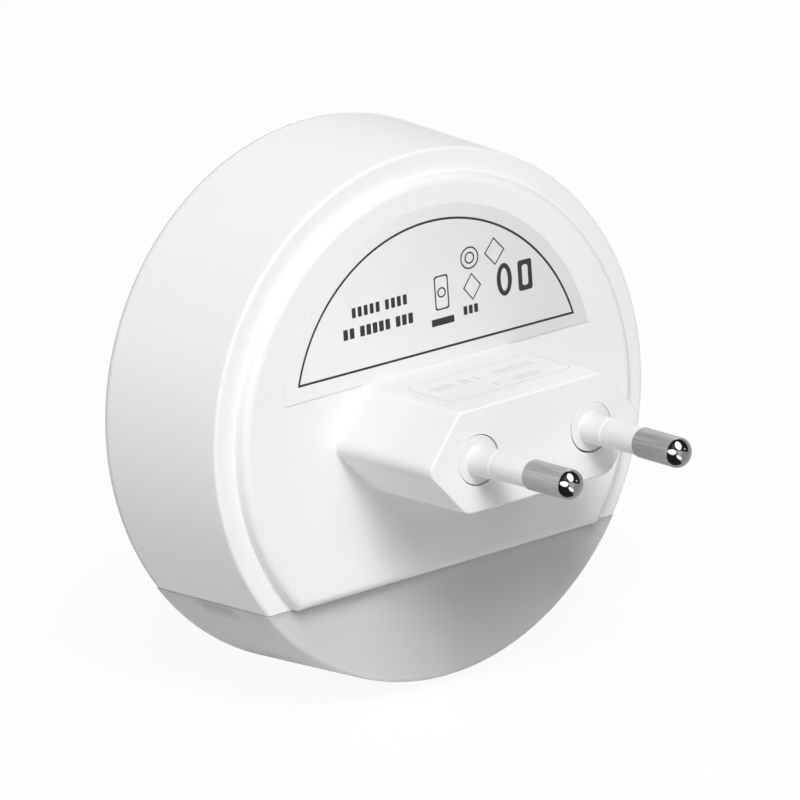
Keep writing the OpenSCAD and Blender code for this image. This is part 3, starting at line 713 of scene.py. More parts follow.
def plug_outline(plug, inset):
    """The plug block's [x, z] outline, drawn in on every side: a long hexagon with round corners."""
    slope = math.hypot(plug.width - plug.flat_w, plug.height)
    side = plug.width / 2 - inset * slope / plug.height
    flat = plug.flat_w / 2 - inset * (slope - plug.width + plug.flat_w) / plug.height
    top = plug.height / 2 - inset
    corners = [(side, 0), (flat, top), (-flat, top), (-side, 0), (-flat, -top), (flat, -top)]
    radii = np.array([plug.side_r, plug.top_r, plug.top_r, plug.side_r, plug.bottom_r, plug.bottom_r])
    return rounded(corners, np.maximum(0.4 * MM, radii - inset), 10)


def block_ring(columns, plug, inset, level):
    """A closed row on the plug block: the outline's reach along every line."""
    return spin(reach(plug_outline(plug, inset), columns.turns), level, columns.turns)


def drum_rows(casing, switch):
    """[radius, level] rows of the drum's wall and rear band, outside and inside, as many of each."""
    band_y = PLATE_Y - casing.step_h
    rim_y = band_y - casing.rim_r
    row_step = 2.4 * MM
    offsets = (switch.pocket_y + switch.lip, switch.pocket_y, switch.slot_y)
    cuts = sorted(s * d for s in (-1, 1) for d in offsets)
    marks = np.array([EDGE_Y + casing.nick, *(SWITCH_Y + d for d in cuts), rim_y])
    levels = divided(marks, lambda y: row_step)
    radii = np.interp(levels, [EDGE_Y, rim_y], [casing.drum_r, casing.rear_r])
    rim = arc((casing.rear_r - casing.rim_r, rim_y), casing.rim_r, 0, 90, 10)[1:]
    flat_r = np.linspace(casing.rear_r - casing.rim_r, casing.plate_r, 6)[1:-1]
    outside = np.concatenate([[(casing.drum_r - casing.nick, EDGE_Y)], np.column_stack([radii, levels]), rim,
                              np.column_stack([flat_r, np.full(len(flat_r), band_y)])])
    bend = 0.3 * MM
    bend_y = band_y - casing.wall - bend
    inner_levels = np.interp(levels, [EDGE_Y, marks[-2], rim_y], [EDGE_Y, marks[-2], bend_y])
    inner_r = casing.rear_r - casing.wall
    inner_rim = arc((inner_r - bend, bend_y), bend, 0, 90, 10)[1:]
    inner_flat = np.linspace(inner_r - bend, casing.plate_r - casing.wall, 6)[1:-1]
    inside = np.concatenate([[(casing.drum_r - casing.wall + casing.nick, EDGE_Y)],
                             np.column_stack([radii - casing.wall, inner_levels]), inner_rim,
                             np.column_stack([inner_flat, np.full(len(inner_flat), band_y - casing.wall)])])
    return outside, inside


def halves(skin, numbers, points, columns, cuts=14):
    """Splits a closed row over the plug's face into its +X and -X halves.

    They share new points down the middle."""
    part = np.linspace(0, 1, cuts + 2)[1:-1, None]
    line = points[columns.top] * (1 - part) + points[columns.bottom] * part
    middle = skin.add(line)
    right = np.arange(columns.bottom, len(numbers) + columns.top + 1) % len(numbers)
    left = np.arange(columns.top, columns.bottom + 1)
    return ((np.concatenate([numbers[right], middle]), np.concatenate([points[right], line])),
            (np.concatenate([numbers[left], middle[::-1]]), np.concatenate([points[left], line[::-1]])))


def pierce(skin, numbers, points, turn, centre_x, stages):
    """Rows from an outline in to circles about a pin's place: a stage is [share, radius, level]."""
    rows = [numbers]
    for part, radius, level in stages:
        circle = spin(radius, level, turn, (centre_x, 0.0))
        rows.append(skin.add(points * (1 - part) + circle * part))
    skin.sheet(rows, wrap=True)
    return rows[-1]


def housing_shell(skin, casing, plug, pins, switch):
    """Drum wall, rear band, raised plate and plug block as one closed shell.

    An outer and an inner sheet share their lines: rows of the drum, then rings over the plate, then rings of
    the block. They are joined at the front edge, along the seam, round the switch's slot and in the collars'
    holes."""
    band_y = PLATE_Y - casing.step_h
    lip, nick = switch.lip, casing.nick
    edge = casing.plate_edge_r
    inner_y = PLATE_Y - casing.wall
    flat_r, flat_floor = casing.plate_r - edge, SEAM_Z + edge
    corner = math.degrees(math.atan2(plug.height, plug.flat_w))
    fine_half, fine_step = 5.6, 0.55
    fine = [(turn, fine_half, fine_step) for turn in (corner, -corner, 180 + corner, 180 - corner, 0, 180)]
    heights = [switch.pocket_z + lip, switch.pocket_z, switch.slot_z]
    columns = Columns(flat_r, flat_floor, [*heights, *(-h for h in reversed(heights))], fine)

    outside, inside = drum_rows(casing, switch)
    wall = columns.wall(outside, SEAM_Z)
    in_pocket = ((abs(wall[..., 1] - SWITCH_Y) < switch.pocket_y + lip / 2)
                 & (abs(wall[..., 2]) < switch.pocket_z + lip / 2) & (wall[..., 0] < 0))
    wall[..., 0] = np.where(in_pocket, -switch.pocket_x, wall[..., 0])
    outer = skin.add(wall)
    inner = skin.add(columns.wall(inside, SEAM_Z))
    rows = [int(np.argmin(abs(outside[:, 1] - SWITCH_Y - s * switch.slot_y))) for s in (-1, 1)]
    slot = [columns.line(switch.slot_z), columns.line(-switch.slot_z)]
    keep, outer_slot = patch(outer, *rows, *slot)
    inner_slot = patch(inner, *rows, *slot)[1]
    skin.sheet(outer, keep=keep)
    skin.sheet(inner, keep=keep)
    skin.sheet([outer_slot, inner_slot], wrap=True)

    bend = arc((0, 0), edge, 0, 90, 10)
    seam_drop, support = 0.35 * MM, 0.25 * MM
    plate = [columns.ring(casing.plate_r + nick, SEAM_Z, band_y, PLATE_Y - edge - seam_drop)]
    plate += [columns.ring(flat_r + dr, flat_floor - dr, PLATE_Y - edge + dy) for dr, dy in bend]
    plate += [columns.ring(flat_r - support, flat_floor + support, PLATE_Y)]
    outline_in = casing.plate_r - casing.wall
    drop = np.linspace(0, 1.2 * MM, 4)[1:]
    under = [columns.ring(outline_in, SEAM_Z, band_y - casing.wall, inner_y)]
    under += [columns.ring(outline_in - d, SEAM_Z + d, inner_y) for d in drop]

    root = plug.root_r
    fillet = root - arc((0, 0), root, 0, 90, 6)[:, ::-1]
    run = -PLATE_Y - plug.edge_r - root
    back_bend = 0.3 * MM
    block_rows = [block_ring(columns, plug, -plug.draft - out, PLATE_Y + up) for out, up in fillet]
    block_rows += [block_ring(columns, plug, -plug.draft * (1 - t), PLATE_Y + root + run * t)
                   for t in (0.05, 0.5, 0.95)]
    block_rows += [block_ring(columns, plug, plug.edge_r - across, along - plug.edge_r)
                   for across, along in arc((0, 0), plug.edge_r, 0, 90, 8)]
    block_rows += [block_ring(columns, plug, plug.edge_r + 0.2 * MM, 0.0)]
    cavity = [block_ring(columns, plug, plug.wall + d, y)
              for d, y in ((-plug.draft, inner_y), (0, -plug.face_t - back_bend), (back_bend, -plug.face_t))]
    shares = np.array([0.2, 0.5, 0.8])[:, None, None]
    spread = plate[-1] * (1 - shares) + block_rows[0] * shares
    under_spread = under[-1] * (1 - shares) + cavity[0] * shares
    top = skin.rows(np.concatenate([plate, spread, block_rows]))
    below = skin.rows(np.concatenate([under, under_spread, cavity]))

    last = len(columns.arc) - 1
    skin.sheet([outer[-1], top[0, :last + 1]])
    skin.sheet([inner[-1], below[0, :last + 1]])
    skin.sheet([outer[0], inner[0]])
    for end in (0, last):
        skin.sheet([np.append(outer[:, end], top[0, end]), np.append(inner[:, end], below[0, end])])
    around = np.append(np.arange(last, len(columns.turns)), 0)
    skin.sheet([top[0, around], below[0, around]])

    fronts = halves(skin, top[-1], block_rows[-1], columns)
    backs = halves(skin, below[-1], cavity[-1], columns)
    for side, (out_numbers, out_points), (in_numbers, in_points) in zip((1, -1), fronts, backs):
        centre_x = side * pins.spacing / 2
        turn = np.arctan2(out_points[:, 2], out_points[:, 0] - centre_x)
        hole = pierce(skin, out_numbers, out_points, turn, centre_x,
                      [(0.4, plug.hole_r, 0), (0.8, plug.hole_r, 0), (1, plug.hole_r + nick / 2, 0),
                       (1, plug.hole_r, -nick / 2)])
        back = pierce(skin, in_numbers, in_points, turn, centre_x,
                      [(0.5, plug.hole_r, -plug.face_t), (1, plug.hole_r, -plug.face_t)])
        skin.sheet([hole, back], wrap=True)


def drum_side(casing):
    """Places [y, z, height] on the drum's -X side: x is the wall's radius there, plus the height."""
    def place(points):
        radius = np.interp(points[..., 0], [EDGE_Y, PLATE_Y - casing.step_h - casing.rim_r],
                           [casing.drum_r, casing.rear_r])
        x = -np.sqrt(radius ** 2 - points[..., 1] ** 2) - points[..., 2]
        return np.stack([x, points[..., 0], points[..., 1]], -1)
    return place


def oval(centre, size, steps=40):
    """Points round an oval: the centre plus half its size along each turn."""
    turn = np.arange(steps) * TURN / steps
    return np.array(centre) + np.array(size) / 2 * np.stack([np.cos(turn), np.sin(turn)], -1)


def oblong(centre, size, radius=0.0, steps=4):
    """Points round a rectangle with rounded corners."""
    half = np.array(size) / 2
    corners = np.array(centre) + half * np.array([(-1, -1), (1, -1), (1, 1), (-1, 1)])
    return rounded(corners, radius, steps)


def housing_marks(skin, casing, switch):
    """Raised signs beside the switch: a bar, a dot and a ring, one for each of the knob's places."""
    side = drum_side(casing)
    sink, rise, soft = -0.1 * MM, 0.12 * MM, 0.04 * MM
    signs_y = SWITCH_Y + switch.pocket_y + 1.6 * MM
    apart = 2.2 * MM
    bar, dot = (0.32 * MM, 1.3 * MM), (0.55 * MM, 0.55 * MM)
    ring_outside, ring_inside = (1.3 * MM, 1.3 * MM), (0.75 * MM, 0.75 * MM)
    tablet(skin, oblong((signs_y, apart), bar, 0.14 * MM), sink, rise, side, soft)
    tablet(skin, oval((signs_y, 0), dot, 24), sink, rise, side, soft)
    ring_at = (signs_y, -apart)
    band(skin, oval(ring_at, ring_outside), oval(ring_at, ring_inside), sink, rise, side)


def housing_inside(skin, casing):
    """Inside of the moulding: four posts for the board, the tray's two bosses and the seam's two tongues."""
    post_places = [(22, 16), (-22, 16), (21, -10), (-21, -10)]
    post_r, pilot_r, pilot_depth = 2.8 * MM, 1.1 * MM, 8 * MM
    foot_y, deep = PLATE_Y - casing.wall + SINK, BOARD_Y + pilot_depth
    post = [(0, foot_y), (post_r, foot_y), (post_r, BOARD_Y), (pilot_r, BOARD_Y), (pilot_r, deep), (0, deep)]
    for x, z in post_places:
        lathe(skin, post, 40, centre=(x * MM, z * MM))

    boss_x, boss_y, boss_h = (21.45 * MM, 26.05 * MM), -30 * MM, 4 * MM
    boss_z, boss_rear_y = high("led_tray")[2], PLATE_Y - casing.step_h - casing.wall + SINK
    for s in (-1, 1):
        block(skin, (s * boss_x[0], boss_y, boss_z), (s * boss_x[1], boss_rear_y, boss_z + boss_h), 0.3 * MM)

    tongue_r, tongue_y = (33.0 * MM, 34.3 * MM), (-36 * MM, -29 * MM)
    foot, head = -22.7 * MM, SEAM_Z + 1.5 * MM
    radius = np.array([tongue_r[k] for k in (0, 1, 1, 0, 0)])
    level = np.array([tongue_y[k] for k in (0, 0, 1, 1, 0)])
    for s in (-1, 1):
        z = np.linspace(foot, head, 9)[:, None]
        x = s * np.sqrt(radius ** 2 - z ** 2)
        rows = np.stack(np.broadcast_arrays(x, level, z), -1)
        caps = [np.broadcast_to(row[:4].mean(0), row.shape) for row in (rows[0], rows[-1])]
        skin.rows(np.array([caps[0], *rows, caps[1]]), wrap=False)


# ---- Diffuser ----

DIFFUSER_COLUMNS = 91


def crown_level(cover, radius):
    """Level of the front cover's face: it bulges by the square of the radius."""
    crown_r = DRUM_R - cover.edge_r
    return COVER_Y - cover.edge_r - cover.crown_h * (1 - (radius / crown_r) ** 2)


def segment(radius, top, level, shares):
    """Rows over the part of a disc below a height: shares run from its straight edge (0) to its arc (1)."""
    low_turn = math.asin(-top / radius)
    turn = np.linspace(math.pi + low_turn, TURN - low_turn, DIFFUSER_COLUMNS)
    edge = spin(radius, 0.0, turn)
    half = math.sqrt(radius ** 2 - top ** 2)
    along = np.linspace(-half, half, len(turn))
    straight = np.stack(np.broadcast_arrays(along, 0.0, top), -1)
    part = np.asarray(shares)[:, None, None]
    rows = straight * (1 - part) + edge * part
    rows[..., 1] = level(np.hypot(rows[..., 0], rows[..., 2]))
    return rows


def lower_wall(rows, top):
    """Points below a height on rows of [radius, level], spread evenly along each row's arc."""
    parts = []
    for radius, level in rows:
        low_turn = math.asin(-top / radius)
        turn = np.linspace(math.pi + low_turn, TURN - low_turn, DIFFUSER_COLUMNS)
        parts.append(spin(radius, level, turn))
    return np.array(parts)


def diffuser_sheet(casing, cover, diffuser, depth):
    """One sheet of the diffuser, as deep in the wall as depth says.

    Its rows run from the seam over the rear face, round the rim, along the wall, round the front edge and
    over the crowned front back to the seam."""
    top = SEAM_Z - SEAM_GAP
    band_y = PLATE_Y - casing.step_h
    rear_r = casing.rear_r + diffuser.proud
    front_r = casing.drum_r + diffuser.proud
    least_bend = 0.3 * MM
    rim = max(casing.rim_r - depth, least_bend)
    edge = max(cover.edge_r + diffuser.proud - depth, least_bend)
    shares = np.linspace(0, 1, 7)
    rear = segment(rear_r - depth - rim, top, lambda r: np.full(r.shape, band_y - depth), shares)
    rim_rows = arc((rear_r - depth - rim, band_y - depth - rim), rim, 90, 0, 10)[1:]
    front_y = COVER_Y if depth == 0 else COVER_Y + depth
    wall_y = np.linspace(rim_rows[-1, 1], front_y, 8)[1:-1]
    wall_r = np.interp(wall_y, [front_y, rim_rows[-1, 1]], [front_r - depth, rear_r - depth])
    edge_rows = arc((front_r - depth - edge, front_y), edge, 0, -90, 10)
    sink = edge_rows[-1, 1] - crown_level(cover, front_r - depth - edge)
    face = segment(front_r - depth - edge, top, lambda r: crown_level(cover, r) + sink, shares[::-1])
    middle = lower_wall([*rim_rows, *zip(wall_r, wall_y), *edge_rows[:-1]], top)
    return np.concatenate([rear, middle, face])


def diffuser_tabs(skin, casing):
    """Four snap tabs: roots on the diffuser, and blades that reach up past the seam."""
    band_y = PLATE_Y - casing.step_h
    seam = SEAM_Z - SEAM_GAP
    thick, soft = 0.9 * MM, 0.2 * MM
    tab_x, tab_half_w = 14 * MM, 3 * MM
    root_h, blade_foot, blade_h = 3.5 * MM, 1 * MM, 4 * MM
    rear_y = band_y - casing.wall - 0.2 * MM
    front_y = EDGE_Y + 1.9 * MM
    rear_tab = (rear_y - thick, band_y - 1.3 * MM), (rear_y - thick, rear_y)
    front_tab = (COVER_Y - 0.4 * MM, front_y), (front_y - thick, front_y)
    for root_y, blade_y in (rear_tab, front_tab):
        for s in (-1, 1):
            x = s * tab_x - tab_half_w, s * tab_x + tab_half_w
            block(skin, (x[0], root_y[0], seam - root_h), (x[1], root_y[1], seam), soft)
            block(skin, (x[0], blade_y[0], seam - blade_foot), (x[1], blade_y[1], seam + blade_h), soft)


# ---- Front cover ----

def cover_shell(skin, cover):
    """The front cover as one closed shell: rounded edge, crown, raised rim round the lens and both holes."""
    front_r = DRUM_R
    crown_r = front_r - cover.edge_r
    nick = 0.1 * MM
    hole_zone, hole_step = 6, 1.0
    columns = Columns(crown_r, SEAM_Z, fine=[(90, hole_zone, hole_step)])
    edge_rows = arc((crown_r, COVER_Y), cover.edge_r, -5, -90, 12)[:-1]
    outside = np.concatenate([[(front_r - nick, COVER_Y)], edge_rows])
    inner_r = 33.1 * MM
    inside = np.column_stack([np.linspace(front_r - 2 * nick, inner_r + 0.2 * MM, len(outside)),
                              np.full(len(outside), COVER_Y)])

    hole_half = 2.6 * MM
    cuts = [(crown_r - cover.pipe_z - s * hole_half) / (crown_r - cover.bezel_r) for s in (1, -1)]
    fine, coarse, margin = 0.032, 0.09, 0.02
    shares = divided(np.array([0, margin, *cuts, 1 - margin, 1]),
                     lambda t: fine if cuts[0] < t < cuts[1] else coarse)

    def crowned(start_r, shift, stop_r):
        """Rings from the D-shaped edge in to a circle: the radius goes evenly, the level by the crown."""
        start = columns.ring(start_r, SEAM_Z, 0.0)
        start_reach = np.hypot(start[:, 0], start[:, 2])
        turn = np.arctan2(start[:, 2], start[:, 0])
        radius = start_reach * (1 - shares[:, None]) + stop_r * shares[:, None]
        return spin(radius, crown_level(cover, radius) + shift, turn), turn

    face, turn = crowned(crown_r, 0.0, cover.bezel_r)
    back = crowned(inner_r, cover.wall, cover.bezel_r)[0]
    base = crown_level(cover, cover.bezel_r)
    bezel_draft, bezel_soft, hole_soft = 0.05 * MM, 0.3 * MM, 0.2 * MM
    rim = rounded([(cover.bezel_r, base), (cover.bezel_r - bezel_draft, base - cover.bezel_h),
                   (cover.lens_hole_r, base - cover.bezel_h), (cover.lens_hole_r, base + 1.0 * MM),
                   (cover.lens_hole_r, base + cover.wall)],
                  (0, bezel_soft, hole_soft, 0, 0), 6, closed=False)
    rims = np.array([spin(r, y, turn) for r, y in rim[1:]])
    face_grid = skin.add(np.concatenate([face, rims]))
    back_grid = skin.add(back)
    rows = [int(np.argmin(abs(shares - c))) for c in cuts]
    lines = [int(np.argmin(abs(columns.turns - math.radians(90 + t)))) for t in (-hole_zone, hole_zone)]
    closed_face = np.concatenate([face_grid, face_grid[:, :1]], 1)
    closed_back = np.concatenate([back_grid, back_grid[:, :1]], 1)
    keep, face_hole = patch(closed_face, *rows, *lines)
    keep_back, back_hole = patch(closed_back, *rows, *lines)
    skin.sheet(closed_face, keep=keep)
    skin.sheet(closed_back, keep=keep_back)
    skin.sheet([face_grid[-1], back_grid[-1]], wrap=True)

    points = np.concatenate(skin.points)[face_hole]
    around = np.arctan2(points[:, 2] - cover.pipe_z, points[:, 0])
    rings = [face_hole]
    hole_r = cover.pipe_hole_r
    for radius, shift in ((hole_r + nick, 0), (hole_r, nick), (hole_r, cover.wall)):
        ring = spin(radius, 0.0, around, (0.0, cover.pipe_z))
        ring[:, 1] = crown_level(cover, np.hypot(ring[:, 0], ring[:, 2])) + shift
        rings.append(skin.add(ring))
    skin.sheet([*rings, back_hole], wrap=True)

    last = len(columns.arc) - 1
    outer = skin.rows(columns.wall(outside, SEAM_Z), wrap=False)
    inner = skin.rows(columns.wall(inside, SEAM_Z), wrap=False)
    skin.sheet([outer[-1], face_grid[0, :last + 1]])
    skin.sheet([inner[-1], back_grid[0, :last + 1]])
    skin.sheet([outer[0], inner[0]])
    for end in (0, last):
        skin.sheet([np.append(outer[:, end], face_grid[0, end]),
                    np.append(inner[:, end], back_grid[0, end])])
    along = np.append(np.arange(last, len(columns.turns)), 0)
    skin.sheet([face_grid[0, along], back_grid[0, along]])


def cover_spigot(skin, casing):
    """Low wall on the cover's inside that fits into the drum, open at the seam: a bar bent round the rim."""
    play, thick, sunk, stand, soft = 0.25 * MM, 1.25 * MM, 0.3 * MM, 2.0 * MM, 0.3 * MM
    outer_r = DRUM_R - casing.wall - play
    inner_r = outer_r - thick
    foot, head = COVER_Y - sunk, COVER_Y + stand
    section = [(outer_r, foot), (outer_r, head - soft), (outer_r - soft, head), (inner_r, head),
               (inner_r, foot), (outer_r, foot)]
    rows = []
    for radius, level in section:
        low_turn = math.asin(SEAM_Z / radius)
        rows.append(spin(radius, level, np.linspace(low_turn, math.pi - low_turn, 121)))
    grid = skin.rows(np.array(rows), wrap=False)
    for end in (0, -1):
        ring = np.array(rows)[:-1, end]
        skin.sheet([grid[:, end], skin.add(np.broadcast_to(ring.mean(0), (len(section), 3)))])


# ---- Lens ----

def lens_surface(skin, lens, cover):
    """The lens: a flange and a dome, both sides, turned about the Y axis.

    On the outer dome each facet's edges lie lower than its middle, by the groove's depth times one minus the
    product of one minus the squared distance from the middle, in each direction."""
    columns = 192
    foot_h, seat_gap, flange_t, flange_r = 0.2 * MM, 0.25 * MM, 0.7 * MM, 13.6 * MM
    base = crown_level(cover, cover.bezel_r) - cover.bezel_h - foot_h
    seat_y = COVER_Y - cover.edge_r - cover.crown_h + cover.wall + seat_gap
    ring_y = seat_y + flange_t
    turn = np.arange(columns) * TURN / columns
    # Rows of facets: where they start and stop in degrees above the rim, their number and their turn
    tiers = [(4, 26, 16, 0), (26, 48, 16, 0.5), (48, 70, 8, 0), (70, 90, 1, 0)]
    rise = np.unique(np.concatenate([np.linspace(a, b, 9) for a, b, _, _ in tiers] + [[0, 2]]))
    bend = np.radians(rise)[:, None]
    deep = np.zeros((len(rise), columns))
    for start, stop, count, shift in tiers:
        up = (rise[:, None] - start) / (stop - start) * 2 - 1
        across = ((turn * count / TURN + shift) % 1) * 2 - 1 if count > 1 else np.zeros(columns)
        up = np.clip(up, -1, 1 if count > 1 else 0)
        inside = (rise[:, None] >= start) & (rise[:, None] <= stop)
        deep = np.where(inside, 1 - (1 - up ** 2) * (1 - across ** 2), deep)
    radius = (lens.radius - lens.groove * deep) * np.cos(bend)
    level = base - (lens.dome_h - lens.groove * deep) * np.sin(bend)
    dome = spin(radius, level, turn)
    hollow = np.radians(np.linspace(90, 0, 16))[:, None]
    inner_r = lens.radius - lens.wall
    inner = spin(inner_r * np.cos(hollow), base - (lens.dome_h - lens.wall) * np.sin(hollow), turn)
    soft = 0.15 * MM
    flange = rounded([(inner_r, ring_y), (flange_r, ring_y), (flange_r, seat_y), (lens.radius, seat_y)],
                     (0, soft, soft, 0), 3, closed=False)
    foot = np.array([spin(r, y, turn) for r, y in flange])
    skin.rows(np.concatenate([foot, dome]))
    skin.rows(np.concatenate([inner, foot[:1]]))


# ---- Pins and sleeves ----

def on_pin(pins, side):
    """Places points on a pin: they lean towards the other pin, fully from half a millimetre above the face.

    The collar sits a little off the middle of its hole: points move sideways by a share that grows from the
    foot's radius outwards, and that fades out below the collar."""
    lean = math.asin((pins.spacing - pins.tip_spacing) / 2 / pins.reach)
    off_x = pins.collar_off * (0.9 if side > 0 else 0.0)
    off_z = pins.collar_off * (0.5 if side > 0 else 1.0)
    lean_run, collar_run, fade_run, fade_end = 0.5 * MM, 0.8 * MM, 0.6 * MM, 3.6

    def place(points):
        turn = side * lean * np.clip(points[..., 1] / lean_run, 0, 1)
        away = np.hypot(points[..., 0], points[..., 2])
        moved = np.clip((away - pins.root_r) / collar_run, 0, 1)
        moved = moved * np.clip(points[..., 1] / fade_run + fade_end, 0, 1)
        x = points[..., 0] * np.cos(turn) - points[..., 1] * np.sin(turn) + side * pins.spacing / 2
        y = points[..., 0] * np.sin(turn) + points[..., 1] * np.cos(turn)
        return np.stack([x + off_x * moved, y, points[..., 2] + off_z * moved], -1)
    return place


def sleeve_profile(pins, plug):
    """[radius, level] outline of a sleeve: flange, collar with a bevelled rim, thick foot, bead and stem."""
    bore, flange_r, flange_t = 1.37 * MM, 4.3 * MM, 1.2 * MM
    back, front = -plug.face_t - flange_t, -plug.face_t
    stem_end = pins.sleeve_r - 0.03 * MM
    bevel, foot_end = 0.06 * MM, pins.root_len
    foot_r, bead_r, bead_w = pins.root_r - 0.08 * MM, pins.root_r - 0.06 * MM, 0.2 * MM
    corners = [(bore, back), (flange_r, back), (flange_r, front), (pins.collar_r, front),
               (pins.collar_r, -bevel), (pins.collar_r - bevel, 0.0), (pins.root_r, 0.0),
               (foot_r, foot_end), (bead_r, foot_end + bead_w / 2), (foot_r, foot_end + bead_w),
               (pins.sleeve_r, foot_end + 2 * bead_w), (stem_end, pins.sleeve_len), (bore, pins.sleeve_len),
               (bore, back)]
    radii = np.array([0, 0.1, 0.1, 0, 0.02, 0.02, 0.1, 0.05, 0.04, 0.05, 0.08, 0.12, 0, 0]) * MM
    return rounded(corners, radii, 6, closed=False)


def pin_profile(pins):
    """[radius, level] outline of a pin: wire cup, core, bevelled shoulder, bare part and half an ellipse."""
    core, tail = 1.35 * MM, -9.5 * MM
    cup_r, cup_depth = 0.75 * MM, 2.5 * MM
    bevel, support = 0.12 * MM, 0.3 * MM
    cup_y, dome_y, shoulder = tail + cup_depth, pins.reach - pins.dome_h, pins.sleeve_len
    start = [(0, cup_y), (cup_r, cup_y), (cup_r, tail), (core, tail), (core, shoulder),
             (pins.pin_r - bevel, shoulder), (pins.pin_r, shoulder + bevel),
             (pins.pin_r, shoulder + support), (pins.pin_r, dome_y - support)]
    dome = arc((0, 0), 1, 0, 90, 28) * (pins.pin_r, pins.dome_h) + (0, dome_y)
    return np.concatenate([start, dome])


# ---- Label ----

def label_loop(label, radius, flat_z, steps=120):
    """A round outline cut off straight at a height: the arc above it, then back along the straight side."""
    low_turn = math.degrees(math.asin((flat_z - label.centre_z) / radius))
    return arc((0, label.centre_z), radius, low_turn, 180 - low_turn, steps)


def on_label(tilt, lift):
    """Places [x, z, height] on the label, turned by the print's tilt."""
    def place(points):
        c, s = math.cos(tilt), math.sin(tilt)
        x = points[..., 0] * c - points[..., 1] * s
        z = points[..., 0] * s + points[..., 1] * c
        return np.stack([x, lift + points[..., 2], z], -1)
    return place


def diamond(centre, size):
    """The four points of a diamond."""
    return np.array(centre) + np.array(size) / 2 * np.array([(1, 0), (0, 1), (-1, 0), (0, -1)])


def card(centre, size):
    """Points round a rectangle with small round corners."""
    return oblong(centre, size, 0.35 * MM, 4)


# Rows of printed blocks, in millimetres: start in x, middle in z, blocks in each word, block size, gap
PRINT_ROWS = [(13.4, 16.95, (5, 4), (0.62, 1.35), 0.36),
              (15.0, 14.3, (2, 5, 3), (0.74, 1.4), 0.3),
              (-4.75, 13.35, (3,), (0.62, 1.15), 0.26)]
# Printed bar, in millimetres: its middle and size
PRINT_BAR = ((-1.3, 12.75), (3.7, 0.95))
# Printed signs, in millimetres: outline, middle, size, width of its line
PRINT_SIGNS = [(card, (-1.35, 16.6), (2.3, 4.6), 0.2), (oval, (-1.35, 16.6), (1.4, 1.4), 0.2),
               (oval, (-6.25, 20.2), (3.0, 3.0), 0.2), (oval, (-6.25, 20.2), (1.6, 1.6), 0.2),
               (diamond, (-10.4, 20.2), (3.4, 3.8), 0.24), (diamond, (-6.4, 16.3), (3.0, 3.7), 0.24),
               (oval, (-11.75, 16.1), (2.5, 4.4), 0.66), (card, (-15.2, 16.0), (2.3, 4.1), 0.66)]


def print_marks(skin, label):
    """The print: a frame, rows of plain blocks in place of lines of text, and simple signs, all thin plates.

    A word is a run of blocks, and the space after it is 0.9 of a block wide."""
    place = on_label(label.tilt, LABEL_Y)
    sink, ink, word_gap = -0.02 * MM, 0.012 * MM, 0.9
    half = label.line / 2
    band(skin, label_loop(label, label.frame_r + half, label.frame_z - half),
         label_loop(label, label.frame_r - half, label.frame_z + half), sink, ink, place)
    for x, z, words, (wide, tall), gap in PRINT_ROWS:
        for count in words:
            for _ in range(count):
                loop = oblong(((x - wide / 2) * MM, z * MM), (wide * MM, tall * MM), 0.12 * MM, 3)
                tablet(skin, loop, sink, ink, place)
                x -= wide + gap
            x -= wide * word_gap
    middle, size = np.array(PRINT_BAR) * MM
    tablet(skin, oblong(middle, size, 0.05 * MM, 2), sink, ink, place)
    for outline, centre, full, line in PRINT_SIGNS:
        centre, full = np.array(centre) * MM, np.array(full) * MM
        band(skin, outline(centre, full), outline(centre, full - 2 * line * MM), sink, ink, place)


# ---- Switch knob ----

def knob_surface(skin):
    """The slider: a rounded knob with three grip grooves and a wider foot inside the switch.

    A groove draws the outer face in along a cosine hump over its width."""
    corner_a, corner_b = np.array(low("switch_slider")), np.array(high("switch_slider"))
    foot_x, foot_rim, overlap = -31.4 * MM, 0.5 * MM, 0.5 * MM
    half_y, half_z = (corner_b[1] - corner_a[1]) / 2 - foot_rim, 1.6 * MM
    pitch, wide, deep = 0.9 * MM, 0.5 * MM, 0.3 * MM

    def grooved(points):
        off = abs((points[..., 2] + pitch / 2) % pitch - pitch / 2)
        in_row = (abs(points[..., 2]) < 1.5 * pitch) & (points[..., 0] < corner_a[0] + deep)
        hump = np.where(off < wide / 2, (1 + np.cos(TURN * off / wide)) / 2, 0) * in_row
        moved = points.copy()
        moved[..., 0] += deep * hump
        return moved

    marks = np.linspace(-1.25, 1.25, 61) * MM
    block(skin, (corner_a[0], SWITCH_Y - half_y, -half_z), (foot_x + overlap, SWITCH_Y + half_y, half_z),
          0.25 * MM, grooved, marks)
    block(skin, (foot_x, corner_a[1], corner_a[2]), corner_b, 0.2 * MM)


# ---- Finishes of the outer pieces ----

def within(tree, source, middle, half, soft):
    """1 where a value lies within half of a middle, 0 beyond, with a soft border."""
    off = sums(tree, "ABSOLUTE", sums(tree, "SUBTRACT", source, middle))
    return ramp(tree, off, half + soft / 2, half - soft / 2)


def times(tree, first, *others):
    """Product of several masks."""
    for other in others:
        first = sums(tree, "MULTIPLY", first, other)
    return first


# The panel cut into the plug block's top, in millimetres: middle, half size, corner radius, line width
PANEL_MIDDLE, PANEL_HALF, PANEL_CORNER, PANEL_LINE = (-0.7, -9.6), (10.2, 4.9), 1.5, 0.13
# Its rows of strokes, in millimetres: where they start and stop in x, middle in y, tallest stroke, pitch
PANEL_ROWS = [(-8.6, 7.8, -10.8, 1.1, 0.82), (-7.2, 1.4, -6.8, 1.05, 0.78)]


